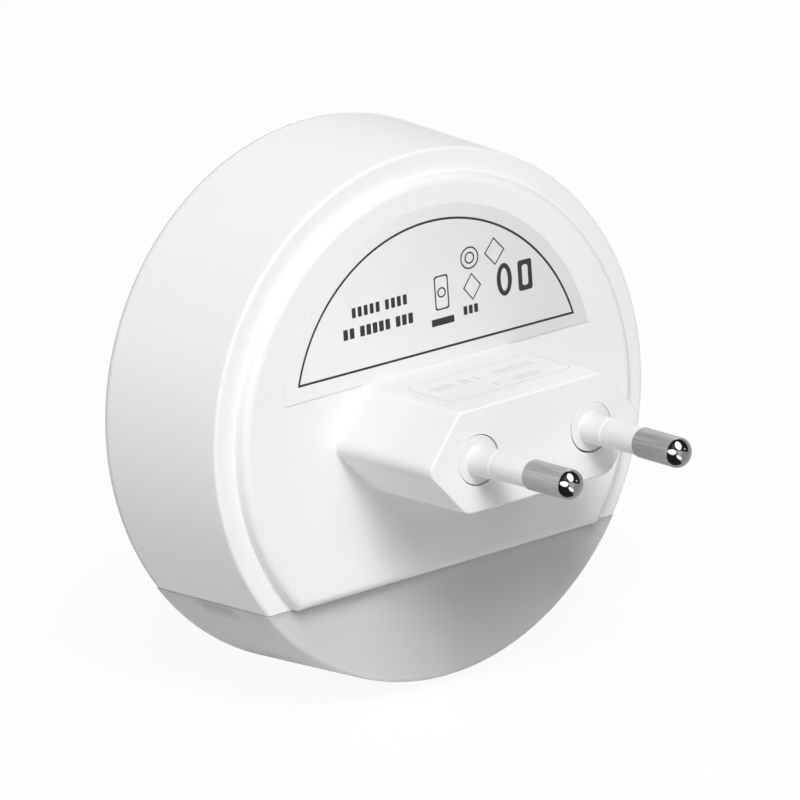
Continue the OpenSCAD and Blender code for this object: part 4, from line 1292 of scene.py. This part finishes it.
def panel_group(top_z):
    """Mask of the engraved panel on the plug block's top: a frame with round corners and rows of strokes.

    The frame is where the distance from a rounded rectangle's edge is small. A row is cut into cells along
    X, every cell holds one stroke, and its own random number sets its height or leaves it out."""
    def build(tree, given):
        _, x, y, z = place_of(tree)
        over = []
        for axis, middle, half in zip((x, y), PANEL_MIDDLE, PANEL_HALF):
            off = sums(tree, "ABSOLUTE", sums(tree, "SUBTRACT", axis, middle * MM))
            over.append(sums(tree, "ADD", off, (PANEL_CORNER - half) * MM))
        outside = [sums(tree, "POWER", sums(tree, "MAXIMUM", o, 0.0), 2.0) for o in over]
        away = sums(tree, "SQRT", sums(tree, "ADD", *outside))
        away = sums(tree, "ADD", away, sums(tree, "MINIMUM", sums(tree, "MAXIMUM", *over), 0.0))
        mask = within(tree, away, PANEL_CORNER * MM, PANEL_LINE * MM, 0.1 * MM)
        left_out, least, stroke_half = 0.2, 0.55, 0.26
        for start, stop, row_y, tall, pitch in PANEL_ROWS:
            cell = sums(tree, "DIVIDE", x, pitch * MM)
            chance = node(tree, "ShaderNodeTexWhiteNoise", {"noise_dimensions": "1D"},
                          W=sums(tree, "FLOOR", cell)).outputs["Value"]
            height = ramp(tree, chance, left_out, 1.0, least * tall * MM, tall * MM)
            off = sums(tree, "ABSOLUTE", sums(tree, "SUBTRACT", y, row_y * MM))
            row = times(tree, ramp(tree, sums(tree, "DIVIDE", off, height), 1.05, 0.95),
                        ramp(tree, chance, left_out, left_out + 0.02),
                        within(tree, sums(tree, "FRACT", cell), 0.5, stroke_half, 0.12),
                        within(tree, x, (start + stop) / 2 * MM, (stop - start) / 2 * MM, 0.02 * MM))
            mask = sums(tree, "MAXIMUM", mask, row)
        return (times(tree, mask, ramp(tree, z, top_z - 0.3 * MM, top_z - 0.2 * MM)),)
    return group("Engraved panel", [], ["Mask"], build)


def engraved_plastic(finish, plug):
    """The casing's white plastic with the panel on the plug block cut into it and painted shade in the cut.

    The block's upper sides get painted shade towards the plate. The cut is as many times deeper than the
    grain as cut_depth says."""
    material, tree, surface, out, base = casing_start("Engraved plastic", finish)
    cut = use(tree, panel_group(plug.height / 2))["Mask"]
    cut_depth, cut_painted_shade, root_painted_shade = 30.0, 0.84, 0.9
    _, _, y, z = place_of(tree)
    # Painted shade on the block's upper sides, towards the plate
    root = times(tree, ramp(tree, y, PLATE_Y + 10 * MM, PLATE_Y + 1 * MM),
                 ramp(tree, y, PLATE_Y, PLATE_Y + 0.2 * MM), ramp(tree, z, -1 * MM, 1 * MM))
    base = blend(tree, root, base, shade(finish.casing, root_painted_shade))
    # Painted shade in the engraved cut
    base = blend(tree, cut, base, shade(finish.casing, cut_painted_shade))
    height = sums(tree, "SUBTRACT", out["Height"], sums(tree, "MULTIPLY", cut, cut_depth))
    dress(tree, surface, base, out["Roughness"], height, CASING_RELIEF)
    return material


def frosted_plastic(finish):
    """Frosted diffuser: fine grain, and the soft shade of the housing's tongues that lie behind its wall."""
    material, tree, surface = shader("Frosted plastic", Specular_IOR_Level=0.2, Subsurface_Weight=1.0,
                                     Subsurface_Radius=(1.0, 1.0, 1.0), Subsurface_Scale=3 * MM)
    out = use(tree, grain_group(), Grain=0.4 * MM, Patch=9 * MM, Roughness=0.5, Swing=0.1)
    _, x, y, z = place_of(tree)
    # Soft borders of the tongues' shade: where it starts and where it is full
    side_x, front_y, rear_y, foot_z = (24, 26.5), (-37.5, -34.5), (-27.5, -30.5), (-23.4, -21.4)
    tongue_share, tongue_shade = 0.75, 0.68
    borders = [(sums(tree, "ABSOLUTE", x), side_x), (y, front_y), (y, rear_y), (z, foot_z)]
    tongue = times(tree, *(ramp(tree, value, start * MM, full * MM) for value, (start, full) in borders),
                   tongue_share)
    base = toned(tree, out, finish.frosted, 0.025)
    base = blend(tree, tongue, base, shade(finish.frosted, tongue_shade))
    dress(tree, surface, base, out["Roughness"], out["Height"], 0.002 * MM)
    return material


def painted_glint(tree, x, z, centre, half, turn):
    """Mask of an ellipse on the dome: 1 inside, by the squares of the distances along its turned axes."""
    dx = sums(tree, "SUBTRACT", x, centre[0] * MM)
    dz = sums(tree, "SUBTRACT", z, centre[1] * MM)
    c, s = math.cos(math.radians(turn)), math.sin(math.radians(turn))
    parts = []
    for a, b, size in ((c, s, half[0]), (-s, c, half[1])):
        along = sums(tree, "ADD", sums(tree, "MULTIPLY", dx, a), sums(tree, "MULTIPLY", dz, b))
        share_out = sums(tree, "DIVIDE", along, size * MM)
        parts.append(sums(tree, "POWER", sums(tree, "ABSOLUTE", share_out), 2.0))
    return ramp(tree, sums(tree, "ADD", *parts), 1.25, 0.75)


# Painted reflections of soft boxes on a pin's polished end, in millimetres from the pin's axis: middle,
# half size, turn in degrees and brightness of each
PAINTED_GLINTS = [((0.57, 1.22), (0.36, 0.48), 12, 0.95), ((1.48, 0.54), (0.37, 0.33), 25, 0.95),
          ((0.79, -0.25), (0.47, 0.2), 49, 0.95), ((-0.14, 0.68), (0.15, 0.1), 30, 0.5),
          ((0.61, 0.34), (0.3, 0.3), 0, 0.32)]


def painted_dome_reflection(tree, finish, pins):
    """Colour of a pin's polished end: a painted reflection of a dark room with soft boxes over a pale floor.

    It is painted dark where the dome faces the viewer and nickel at a slant. Places on it are measured from
    the pin's axis: a painted grey side below, and the painted bright ellipses of the soft boxes."""
    _, x, _, z = place_of(tree)
    axis_x = pins.tip_spacing / 2 + 0.01 * MM
    x = sums(tree, "SUBTRACT", x, sums(tree, "MULTIPLY", sums(tree, "SIGN", x), axis_x))
    slant = node(tree, "ShaderNodeLayerWeight", Blend=0.5).outputs["Facing"]
    slant_start, slant_full = 0.36, 0.43
    # The grey side's two straight borders: one coordinate, less its slope times the other, crosses each
    masks = []
    for value, other, slope, none, whole in ((z, x, 0.34, 0.46, 0.3), (x, z, 0.45, 0.98, 0.82)):
        over = sums(tree, "SUBTRACT", value, sums(tree, "MULTIPLY", other, slope))
        masks.append(ramp(tree, over, none * MM, whole * MM))
    colour_now = blend(tree, times(tree, *masks), finish.dome, shade(finish.painted_rim_reflection, 0.85))
    for centre, half, turn, bright in PAINTED_GLINTS:
        spot = painted_glint(tree, x, z, centre, half, turn)
        colour_now = blend(tree, spot, colour_now, (bright, bright, bright))
    return blend(tree, ramp(tree, slant, slant_start, slant_full), colour_now, finish.painted_rim_reflection)


def nickel_plating(finish, pins):
    """Matt nickel with lengthwise streaks, and a polished domed end with painted reflections in its colour.
    """
    material, tree, surface = shader("Nickel", Metallic=1.0)
    out = use(tree, streak_group(), Width=0.14 * MM, Length=5 * MM, Roughness=0.6, Swing=0.12)
    spot, _, y, _ = place_of(tree)
    pits = node(tree, "ShaderNodeTexNoise", Vector=spot, Scale=9000.0, Detail=2.0).outputs[0]
    start = pins.reach - pins.dome_h + 0.1 * MM
    dome = ramp(tree, y, start, start + 0.1 * MM)
    # Painted reflection in the domed end's colour
    painted_reflection = painted_dome_reflection(tree, finish, pins)
    dark_streak, light_streak, pit_shade, pit_share = 0.74, 1.06, 0.45, 0.35
    brushed = blend(tree, out["Tone"], shade(finish.nickel, dark_streak), shade(finish.nickel, light_streak))
    pitted = ramp(tree, pits, 0.62, 0.72, 0.0, pit_share)
    brushed = blend(tree, pitted, brushed, shade(finish.nickel, pit_shade))
    matt = sums(tree, "SUBTRACT", 1.0, dome)
    dome_roughness = 0.34
    rough = sums(tree, "ADD", sums(tree, "MULTIPLY", out["Roughness"], matt),
                 sums(tree, "MULTIPLY", dome, dome_roughness))
    height = sums(tree, "MULTIPLY", out["Height"], matt)
    dress(tree, surface, blend(tree, dome, brushed, painted_reflection), rough, height, 0.006 * MM)
    return material


def label_film(finish):
    """Satin printed film: paper-like mottling, a faint orange peel and a light coat.

    It gets lighter across its width, a painted sheen, and its cut edge is darker with painted shade."""
    material, tree, surface = shader("Label film", Coat_Weight=0.25, Coat_Roughness=0.3)
    out = use(tree, grain_group(), Grain=0.12 * MM, Patch=5 * MM, Roughness=0.4, Swing=0.1)
    # Painted sheen: the colour lighter across the film's width
    across = ramp(tree, place_of(tree)[1], -18 * MM, 22 * MM)
    painted_sheen_dark, painted_sheen_light, mottling = 0.93, 1.12, 0.985
    mottled, clear = (blend(tree, across, *(shade(finish.label, end * t) for end in (painted_sheen_dark, painted_sheen_light)))
                      for t in (mottling, 1.0))
    face = blend(tree, out["Tone"], mottled, clear)
    # Painted shade that dims the highlight on the film's cut edge
    film_edge_painted_shade = ramp(tree, place_of(tree)[2], LABEL_Y - 0.004 * MM, LABEL_Y - 0.018 * MM)
    base = blend(tree, film_edge_painted_shade, face, shade(finish.label, 0.75))
    dress(tree, surface, base, out["Roughness"], out["Height"], 0.002 * MM)
    return material


# ---- Finishes of the inner pieces ----

def distance(tree, along, across):
    """Root of the sum of two squares."""
    squares = [sums(tree, "MULTIPLY", part, part) for part in (along, across)]
    return sums(tree, "SQRT", sums(tree, "ADD", *squares))


def spun(tree, pitch):
    """Value that swings along the distance from the Y axis, like the marks that turning leaves."""
    _, x, _, z = place_of(tree)
    return sums(tree, "SINE", sums(tree, "MULTIPLY", distance(tree, x, z), TURN / pitch))


def circuit_board(name, mask, copper, angle):
    """Solder mask over copper tracks: stretched cells at two angles show as tracks in colour and relief."""
    material, tree, surface = shader(name, Coat_Weight=0.4, Coat_Roughness=0.15)
    out = use(tree, grain_group(), Grain=0.2 * MM, Patch=6 * MM, Roughness=0.32, Swing=0.08)
    spot = place_of(tree)[0]
    turned = node(tree, "ShaderNodeMapping", {"vector_type": "POINT"}, Vector=spot,
                  Rotation=(angle, 0.0, 0.0)).outputs[0]
    tracks = node(tree, "ShaderNodeTexBrick", {"offset": 0.37, "squash": 1.0}, Vector=turned, Scale=1.0,
                  Mortar_Size=0.16 * MM, Mortar_Smooth=0.1, Brick_Width=5.2 * MM, Row_Height=1.3 * MM)
    line = tracks.outputs["Fac"]
    base = blend(tree, line, toned(tree, out, mask, 0.1), copper)
    height = sums(tree, "ADD", out["Height"], sums(tree, "MULTIPLY", line, 3.0))
    dress(tree, surface, base, out["Roughness"], height, 0.004 * MM)
    return material


def wound_wire(name, rgb, pitch):
    """Close turns of enamelled wire: a wave along Y, in colour, gloss and relief."""
    material, tree, surface = shader(name, Metallic=0.7, Coat_Weight=0.3)
    out = use(tree, streak_group(), Width=0.3 * MM, Length=0.3 * MM, Roughness=0.32, Swing=0.1)
    y = place_of(tree)[2]
    turn = sums(tree, "SINE", sums(tree, "MULTIPLY", y, TURN / (pitch * MM)))
    hump = ramp(tree, turn, -1.0, 0.4)
    # Painted shade: the colour darker between the turns, where the wave is low
    dress(tree, surface, blend(tree, hump, shade(rgb, 0.4), rgb), out["Roughness"], hump, 0.08 * MM)
    return material


def banded(name, rgb, bands, axis, start, pitch, width):
    """Lacquered body with coloured bands across it, from start onwards along an axis."""
    material, tree, surface = shader(name)
    out = use(tree, grain_group(), Grain=0.25 * MM, Patch=3 * MM, Roughness=0.4, Swing=0.1)
    along = place_of(tree)[1 + axis]
    base = toned(tree, out, rgb, 0.1)
    border = 0.04
    for k, band_rgb in enumerate(bands):
        centre = (start + k * pitch) * MM
        off = sums(tree, "ABSOLUTE", sums(tree, "SUBTRACT", along, centre))
        base = blend(tree, ramp(tree, off, (width / 2 + border) * MM, width / 2 * MM), base, band_rgb)
    dress(tree, surface, base, out["Roughness"], out["Height"], 0.006 * MM)
    return material


def diode_case():
    """White case with a round yellow phosphor in the middle of each diode's light side.

    The diodes stand in two rows along X, half a pitch off the middle. PingPong folds the rows into one cell,
    and the phosphor is where the distance from the cell's diode is small."""
    material, tree, surface = shader("Diode", Coat_Weight=0.2)
    out = use(tree, grain_group(), Grain=0.1 * MM, Patch=1.5 * MM, Roughness=0.4, Swing=0.1)
    _, x, y, _ = place_of(tree)
    pitch, middle_y, row_off, phosphor_r, border = 5.8 * MM, -33 * MM, 2.4 * MM, 1.1 * MM, 0.05 * MM
    dx = sums(tree, "SUBTRACT", pitch / 2, sums(tree, "PINGPONG", x, pitch / 2))
    dy = sums(tree, "SUBTRACT", sums(tree, "ABSOLUTE", sums(tree, "SUBTRACT", y, middle_y)), row_off)
    phosphor = ramp(tree, distance(tree, dx, dy), phosphor_r + border, phosphor_r - border)
    white = blend(tree, out["Tone"], (0.82, 0.82, 0.8), (0.88, 0.88, 0.86))
    base = blend(tree, phosphor, white, (0.85, 0.68, 0.12))
    dress(tree, surface, base, out["Roughness"], out["Height"], 0.003 * MM)
    return material


def clear_plastic(name, rgb, roughness):
    """Clear moulded plastic with faint flow lines in its relief."""
    material, tree, surface = shader(name, Transmission_Weight=1.0, IOR=1.49)
    out = use(tree, grain_group(), Grain=0.5 * MM, Patch=4 * MM, Roughness=roughness, Swing=0.04)
    dress(tree, surface, toned(tree, out, rgb, 0.04), out["Roughness"], out["Height"], 0.002 * MM)
    return material


def screw_metal():
    """Zinc-plated screws: fine turning marks about the Y axis, over faint streaks."""
    material, tree, surface = shader("Zinc screws", Metallic=1.0)
    out = use(tree, streak_group(), Width=0.3 * MM, Length=0.3 * MM, Roughness=0.34, Swing=0.12)
    zinc = (0.62, 0.62, 0.6)
    dress(tree, surface, toned(tree, out, zinc, 0.2), out["Roughness"], spun(tree, 0.12 * MM), 0.002 * MM)
    return material


def insulation(name, rgb, tone=0.15):
    """Extruded insulation of a wire."""
    return plastic(name, rgb, 0.4, grain=0.2, depth=0.003, tone=tone)


def inner_finishes():
    """A finish for every node of the frame that is shown as it is."""
    screws = screw_metal()
    black = plastic("Black moulding", (0.022, 0.022, 0.024), 0.5, grain=0.12, depth=0.006, tone=0.25,
                    patches=3)
    resistor_bands = [(0.2, 0.05, 0.01), (0.01, 0.01, 0.01), (0.4, 0.02, 0.01), (0.6, 0.42, 0.08)]
    return {
        "pin_retainer": plastic("Retainer plastic", (0.8, 0.8, 0.78), 0.5, grain=0.3, depth=0.004),
        "lens_retainer": plastic("Ring plastic", (0.66, 0.66, 0.67), 0.5, grain=0.3, depth=0.004),
        "led_tray": plastic("Reflector plastic", (0.88, 0.88, 0.88), 0.35, grain=0.35, tone=0.02),
        "retainer_screw": screws, "lens_screws": screws, "board_screws": screws, "tray_screws": screws,
        "led_screws": screws,
        "pir_sensor": metal("Sensor can", (0.68, 0.67, 0.65), 0.28, width=0.4, run=0.4, tone=0.12),
        "pir_window": plastic("Filter window", (0.06, 0.045, 0.06), 0.12, grain=0.1, depth=0.0005,
                              tone=0.2),
        "pir_legs": metal("Gilt legs", (0.8, 0.62, 0.3), 0.28, width=0.08, run=1.5),
        "sensor_spacer": black, "bridge_rectifier": black, "driver_chip": black, "controller_chip": black,
        "switch_body": plastic("Switch body", (0.05, 0.05, 0.055), 0.42, grain=0.25, depth=0.004,
                               tone=0.2),
        "light_sensor": clear_plastic("Sensor resin", (0.86, 0.92, 0.95), 0.06),
        "light_pipe": clear_plastic("Light rod", (0.93, 0.95, 0.96), 0.05),
        "driver_board": circuit_board("Driver board", (0.02, 0.16, 0.06), (0.06, 0.3, 0.11), math.pi / 2),
        "led_board": circuit_board("Lamp board", (0.84, 0.84, 0.83), (0.7, 0.7, 0.68), 0.0),
        "film_capacitor": plastic("Yellow case", (0.8, 0.5, 0.04), 0.35, grain=0.3, depth=0.004, tone=0.12),
        "electrolytic_capacitor": banded("Capacitor sleeve", (0.02, 0.025, 0.08), [(0.55, 0.57, 0.6)],
                                         2, 15.2, 1, 2.6),
        "inductor": wound_wire("Copper winding", (0.62, 0.27, 0.12), 0.42),
        "varistor": plastic("Blue coating", (0.02, 0.1, 0.42), 0.3, grain=0.5, depth=0.01, tone=0.15,
                            patches=4),
        "fuse_resistor": banded("Resistor coating", (0.5, 0.42, 0.26), resistor_bands, 2, -2.0, 1.5, 0.6),
        "small_parts": plastic("Chip ceramic", (0.42, 0.33, 0.2), 0.4, grain=0.25, depth=0.006, tone=0.1,
                               patches=3, swing=0.1),
        "leds": diode_case(),
        "switch_terminals": metal("Tinned legs", (0.66, 0.66, 0.66), 0.3, width=0.08, run=1.5),
        "live_wire": insulation("Brown insulation", (0.16, 0.05, 0.02)),
        "neutral_wire": insulation("Blue insulation", (0.02, 0.08, 0.4)),
        "led_wire_red": insulation("Red insulation", (0.5, 0.015, 0.012)),
        "led_wire_black": insulation("Black insulation", (0.015, 0.015, 0.015), 0.3),
    }


# ---- Operators ----

class NIGHTLIGHT_OT_housing(bpy.types.Operator):
    """Builds the rear housing with its plug block, posts, bosses and raised signs"""

    bl_idname = "night_light.housing"
    bl_label = "Rear Housing"

    def execute(self, context):
        sizes = context.scene.night_light
        skin = Skin()
        housing_shell(skin, sizes.casing, sizes.plug, sizes.pins, sizes.switch)
        housing_marks(skin, sizes.casing, sizes.switch)
        housing_inside(skin, sizes.casing)
        make("housing_shell", skin, engraved_plastic(sizes.finish, sizes.plug), "lamp",
             ["rear_housing"])
        return {"FINISHED"}


class NIGHTLIGHT_OT_diffuser(bpy.types.Operator):
    """Builds the frosted diffuser with its snap tabs"""

    bl_idname = "night_light.diffuser"
    bl_label = "Diffuser"

    def execute(self, context):
        sizes = context.scene.night_light
        skin = Skin()
        sheets = [diffuser_sheet(sizes.casing, sizes.cover, sizes.diffuser, depth)
                  for depth in (0.0, sizes.diffuser.wall)]
        outer, inner = (skin.rows(sheet, wrap=False) for sheet in sheets)
        rims = [np.concatenate([grid[0], grid[1:, -1], grid[-1, -2::-1], grid[-2:0:-1, 0]])
                for grid in (outer, inner)]
        skin.sheet(rims, wrap=True)
        diffuser_tabs(skin, sizes.casing)
        make("diffuser_shell", skin, frosted_plastic(sizes.finish), "lamp", ["diffuser"])
        return {"FINISHED"}


class NIGHTLIGHT_OT_front_cover(bpy.types.Operator):
    """Builds the front cover with its raised lens rim and spigot"""

    bl_idname = "night_light.front_cover"
    bl_label = "Front Cover"

    def execute(self, context):
        sizes = context.scene.night_light
        skin = Skin()
        cover_shell(skin, sizes.cover)
        cover_spigot(skin, sizes.casing)
        make("front_cover_shell", skin, cover_plastic(sizes.finish, sizes.cover), "lamp",
             ["front_cover"])
        return {"FINISHED"}


class NIGHTLIGHT_OT_lens(bpy.types.Operator):
    """Builds the domed lens with its facets"""

    bl_idname = "night_light.lens"
    bl_label = "Lens"

    def execute(self, context):
        sizes = context.scene.night_light
        skin = Skin()
        lens_surface(skin, sizes.lens, sizes.cover)
        milky = plastic("Lens plastic", sizes.finish.lens, 0.38, grain=0.35, depth=0.0015, tone=0.02)
        make("lens_dome", skin, milky, "lamp", ["pir_lens"], crease=40)
        return {"FINISHED"}


class NIGHTLIGHT_OT_pins(bpy.types.Operator):
    """Builds both pins and their sleeves"""

    bl_idname = "night_light.pins"
    bl_label = "Pins and Sleeves"

    def execute(self, context):
        sizes = context.scene.night_light
        nickel = nickel_plating(sizes.finish, sizes.pins)
        nylon = plastic("Sleeve nylon", sizes.finish.sleeve, 0.4, grain=0.2, depth=0.001, tone=0.012)
        for name, side in (("left", 1), ("right", -1)):
            lean = on_pin(sizes.pins, side)
            rod = Skin()
            lathe(rod, pin_profile(sizes.pins), 96, lean)
            make(f"pin_{name}_metal", rod, nickel, "lamp", [f"pin_{name}"])
            tube = Skin()
            lathe(tube, sleeve_profile(sizes.pins, sizes.plug), 96, lean)
            make(f"sleeve_{name}_nylon", tube, nylon, "lamp", [f"sleeve_{name}"])
        return {"FINISHED"}


class NIGHTLIGHT_OT_label(bpy.types.Operator):
    """Builds the label and its print"""

    bl_idname = "night_light.label"
    bl_label = "Label"

    def execute(self, context):
        sizes = context.scene.night_light
        film = Skin()
        outline = label_loop(sizes.label, sizes.label.radius, low("rating_label")[2])
        tablet(film, outline, PLATE_Y - LABEL_Y, 0.0, on_label(0.0, LABEL_Y), 0.02 * MM)
        make("label_film", film, label_film(sizes.finish), "lamp", ["rating_label"])
        marks = Skin()
        print_marks(marks, sizes.label)
        ink = plastic("Label ink", sizes.finish.ink, 0.35, grain=0.15, depth=0.001, tone=0.3, patches=2)
        make("label_print", marks, ink, "lamp")
        return {"FINISHED"}


class NIGHTLIGHT_OT_switch(bpy.types.Operator):
    """Builds the mode switch's knob"""

    bl_idname = "night_light.switch"
    bl_label = "Switch Knob"

    def execute(self, context):
        skin = Skin()
        knob_surface(skin)
        make("switch_knob", skin, white_plastic(context.scene.night_light.finish), "slider",
             ["switch_slider"])
        return {"FINISHED"}


class NIGHTLIGHT_OT_inner_parts(bpy.types.Operator):
    """Gives every inner part its finish"""

    bl_idname = "night_light.inner_parts"
    bl_label = "Inner Parts"

    def execute(self, context):
        for name, material in inner_finishes().items():
            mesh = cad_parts[name].data
            mesh.materials.clear()
            mesh.materials.append(material)
        return {"FINISHED"}


# Soft lamps: direction from the object, width and the setting that holds the strength
LAMPS = {"key_lamp": ((0.45, 0.8, 1.0), 0.8, "key"),
         "side_lamp": ((0.63, -0.78, 0.32), 0.5, "side"),
         "edge_lamp": ((1.0, 0.1, 0.35), 0.5, "edge"),
         "rim_lamp": ((-0.49, -0.54, 0.73), 0.5, "rim"),
         "fill_lamp": ((-0.06, 1.13, 0.61), 0.5, "fill")}
LAMP_DISTANCE = 2.0
# Point that the lamps face
LAMP_AIM = (0.0, -0.02, 0.0)
# Camera: place, directions of the picture's right and top, and focal length in millimetres
CAMERA_PLACE = (0.87947, 1.14178, 0.41618)
CAMERA_RIGHT = (-0.7845, 0.6158, -0.0735)
CAMERA_TOP = (-0.2246, -0.1717, 0.9592)
CAMERA_LENS = 524.12
# Share of plain white in what is seen of the floor; the rest shows the object's shadow
FLOOR_GLOW = 0.93


def seen_rays(tree):
    """1 for camera, mirror and see-through rays, 0 for the rays that carry light."""
    rays = node(tree, "ShaderNodeLightPath").outputs
    mirrored = sums(tree, "MAXIMUM", rays["Is Glossy Ray"], rays["Is Transmission Ray"])
    return sums(tree, "MAXIMUM", rays["Is Camera Ray"], mirrored)


def soft_lamp(name, direction, size, strength):
    """A square soft lamp along a direction, turned to face the object."""
    data = bpy.data.lights.new(name, "AREA")
    data.shape = "SQUARE"
    data.size = size
    data.energy = strength
    lamp = bpy.data.objects.new(name, data)
    bpy.context.scene.collection.objects.link(lamp)
    way = Vector(direction).normalized()
    lamp.location = Vector(LAMP_AIM) + way * LAMP_DISTANCE
    lamp.rotation_euler = way.to_track_quat("Z", "Y").to_euler()


class NIGHTLIGHT_OT_stage(bpy.types.Operator):
    """Builds the floor, the world, the lamps and the camera"""

    bl_idname = "night_light.stage"
    bl_label = "Stage"

    def execute(self, context):
        scene, stage = context.scene, context.scene.night_light.stage
        self.floor(stage)
        self.world(scene, stage)
        for name, (direction, size, setting) in LAMPS.items():
            soft_lamp(name, direction, size, getattr(stage, setting))
        self.camera(scene)
        scene.view_settings.view_transform = "Standard"
        return {"FINISHED"}

    def floor(self, stage):
        """A wide round floor just below the object: white with the object's faint shadow.

        Rays that carry light meet a plain pale floor, and the others see its white."""
        z = CAD_BOX[0][2] - stage.floor_gap
        rings = np.array([0.0, 0.05, 0.2, 0.8, 3.0, 12.0])[:, None]
        turn = np.arange(64) * TURN / 64
        points = np.stack(np.broadcast_arrays(rings * np.cos(turn), rings * np.sin(turn), z), -1)
        skin = Skin()
        skin.rows(points)
        mesh = merged("floor", skin, closed=False)
        material, tree, surface = shader("Floor", Roughness=0.9, Specular_IOR_Level=0.2)
        out = use(tree, grain_group(), Grain=2 * MM, Patch=0.3, Roughness=0.85)
        tone = blend(tree, out["Tone"], (0.6, 0.6, 0.6), (0.62, 0.62, 0.62))
        tree.links.new(tone, surface.inputs["Base Color"])
        bright = node(tree, "ShaderNodeBsdfDiffuse", Color=(0.97, 0.97, 0.97, 1)).outputs[0]
        glow = node(tree, "ShaderNodeEmission", Color=(1, 1, 1, 1), Strength=1.0).outputs[0]
        white = node(tree, "ShaderNodeMixShader", Fac=FLOOR_GLOW)
        tree.links.new(bright, white.inputs[1])
        tree.links.new(glow, white.inputs[2])
        either = node(tree, "ShaderNodeMixShader", Fac=seen_rays(tree))
        tree.links.new(surface.outputs[0], either.inputs[1])
        tree.links.new(white.outputs[0], either.inputs[2])
        tree.links.new(either.outputs[0], tree.nodes["Material Output"].inputs["Surface"])
        mesh.materials.append(material)
        floor = bpy.data.objects.new("floor", mesh)
        bpy.context.scene.collection.objects.link(floor)

    def world(self, scene, stage):
        """Light from all round, with plain white behind the object."""
        world = bpy.data.worlds.new("Studio")
        scene.world = world
        world.use_nodes = True
        tree = world.node_tree
        tree.nodes.clear()
        light = node(tree, "ShaderNodeBackground", Color=(1, 1, 1, 1), Strength=stage.sky)
        white = node(tree, "ShaderNodeBackground", Color=(1, 1, 1, 1), Strength=1.0)
        mix = node(tree, "ShaderNodeMixShader", Fac=seen_rays(tree))
        tree.links.new(light.outputs[0], mix.inputs[1])
        tree.links.new(white.outputs[0], mix.inputs[2])
        end = node(tree, "ShaderNodeOutputWorld")
        tree.links.new(mix.outputs[0], end.inputs["Surface"])

    def camera(self, scene):
        """A long lens, up and to one side behind the plug; the view is rolled a little."""
        data = bpy.data.cameras.new("camera")
        data.sensor_width = 36.0
        data.lens = CAMERA_LENS
        data.clip_end = 50.0
        camera = bpy.data.objects.new("camera", data)
        scene.collection.objects.link(camera)
        right = Vector(CAMERA_RIGHT).normalized()
        up = Vector(CAMERA_TOP)
        up = (up - right * up.dot(right)).normalized()
        turn = Matrix((right, up, right.cross(up))).transposed()
        camera.matrix_world = Matrix.Translation(CAMERA_PLACE) @ turn.to_4x4()
        scene.camera = camera


OPERATORS = [NIGHTLIGHT_OT_stage, NIGHTLIGHT_OT_housing, NIGHTLIGHT_OT_diffuser, NIGHTLIGHT_OT_front_cover,
             NIGHTLIGHT_OT_lens, NIGHTLIGHT_OT_pins, NIGHTLIGHT_OT_label, NIGHTLIGHT_OT_switch,
             NIGHTLIGHT_OT_inner_parts]


class NIGHTLIGHT_PT_panel(bpy.types.Panel):
    """Lists the steps that build the night light."""

    bl_idname = "NIGHTLIGHT_PT_panel"
    bl_label = "Night Light"
    bl_space_type = "VIEW_3D"
    bl_region_type = "UI"
    bl_category = "Night Light"

    def draw(self, context):
        for operator in OPERATORS:
            self.layout.operator(operator.bl_idname)


CLASSES = [CasingSizes, PlugSizes, PinSizes, DiffuserSizes, CoverSizes, LensSizes, LabelSizes, SwitchSizes,
           FinishColours, StageSettings, NightLight, *OPERATORS, NIGHTLIGHT_PT_panel]


def register():
    """Registers every class and hangs the settings on the scene."""
    for cls in CLASSES:
        bpy.utils.register_class(cls)
    bpy.types.Scene.night_light = PointerProperty(type=NightLight)


def unregister():
    """Takes the settings and the classes away again."""
    del bpy.types.Scene.night_light
    for cls in reversed(CLASSES):
        bpy.utils.unregister_class(cls)


def main():
    """Registers the add-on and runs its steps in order."""
    register()
    for operator in OPERATORS:
        family, step = operator.bl_idname.split(".")
        getattr(getattr(bpy.ops, family), step)()


if __name__ == "__main__":
    main()
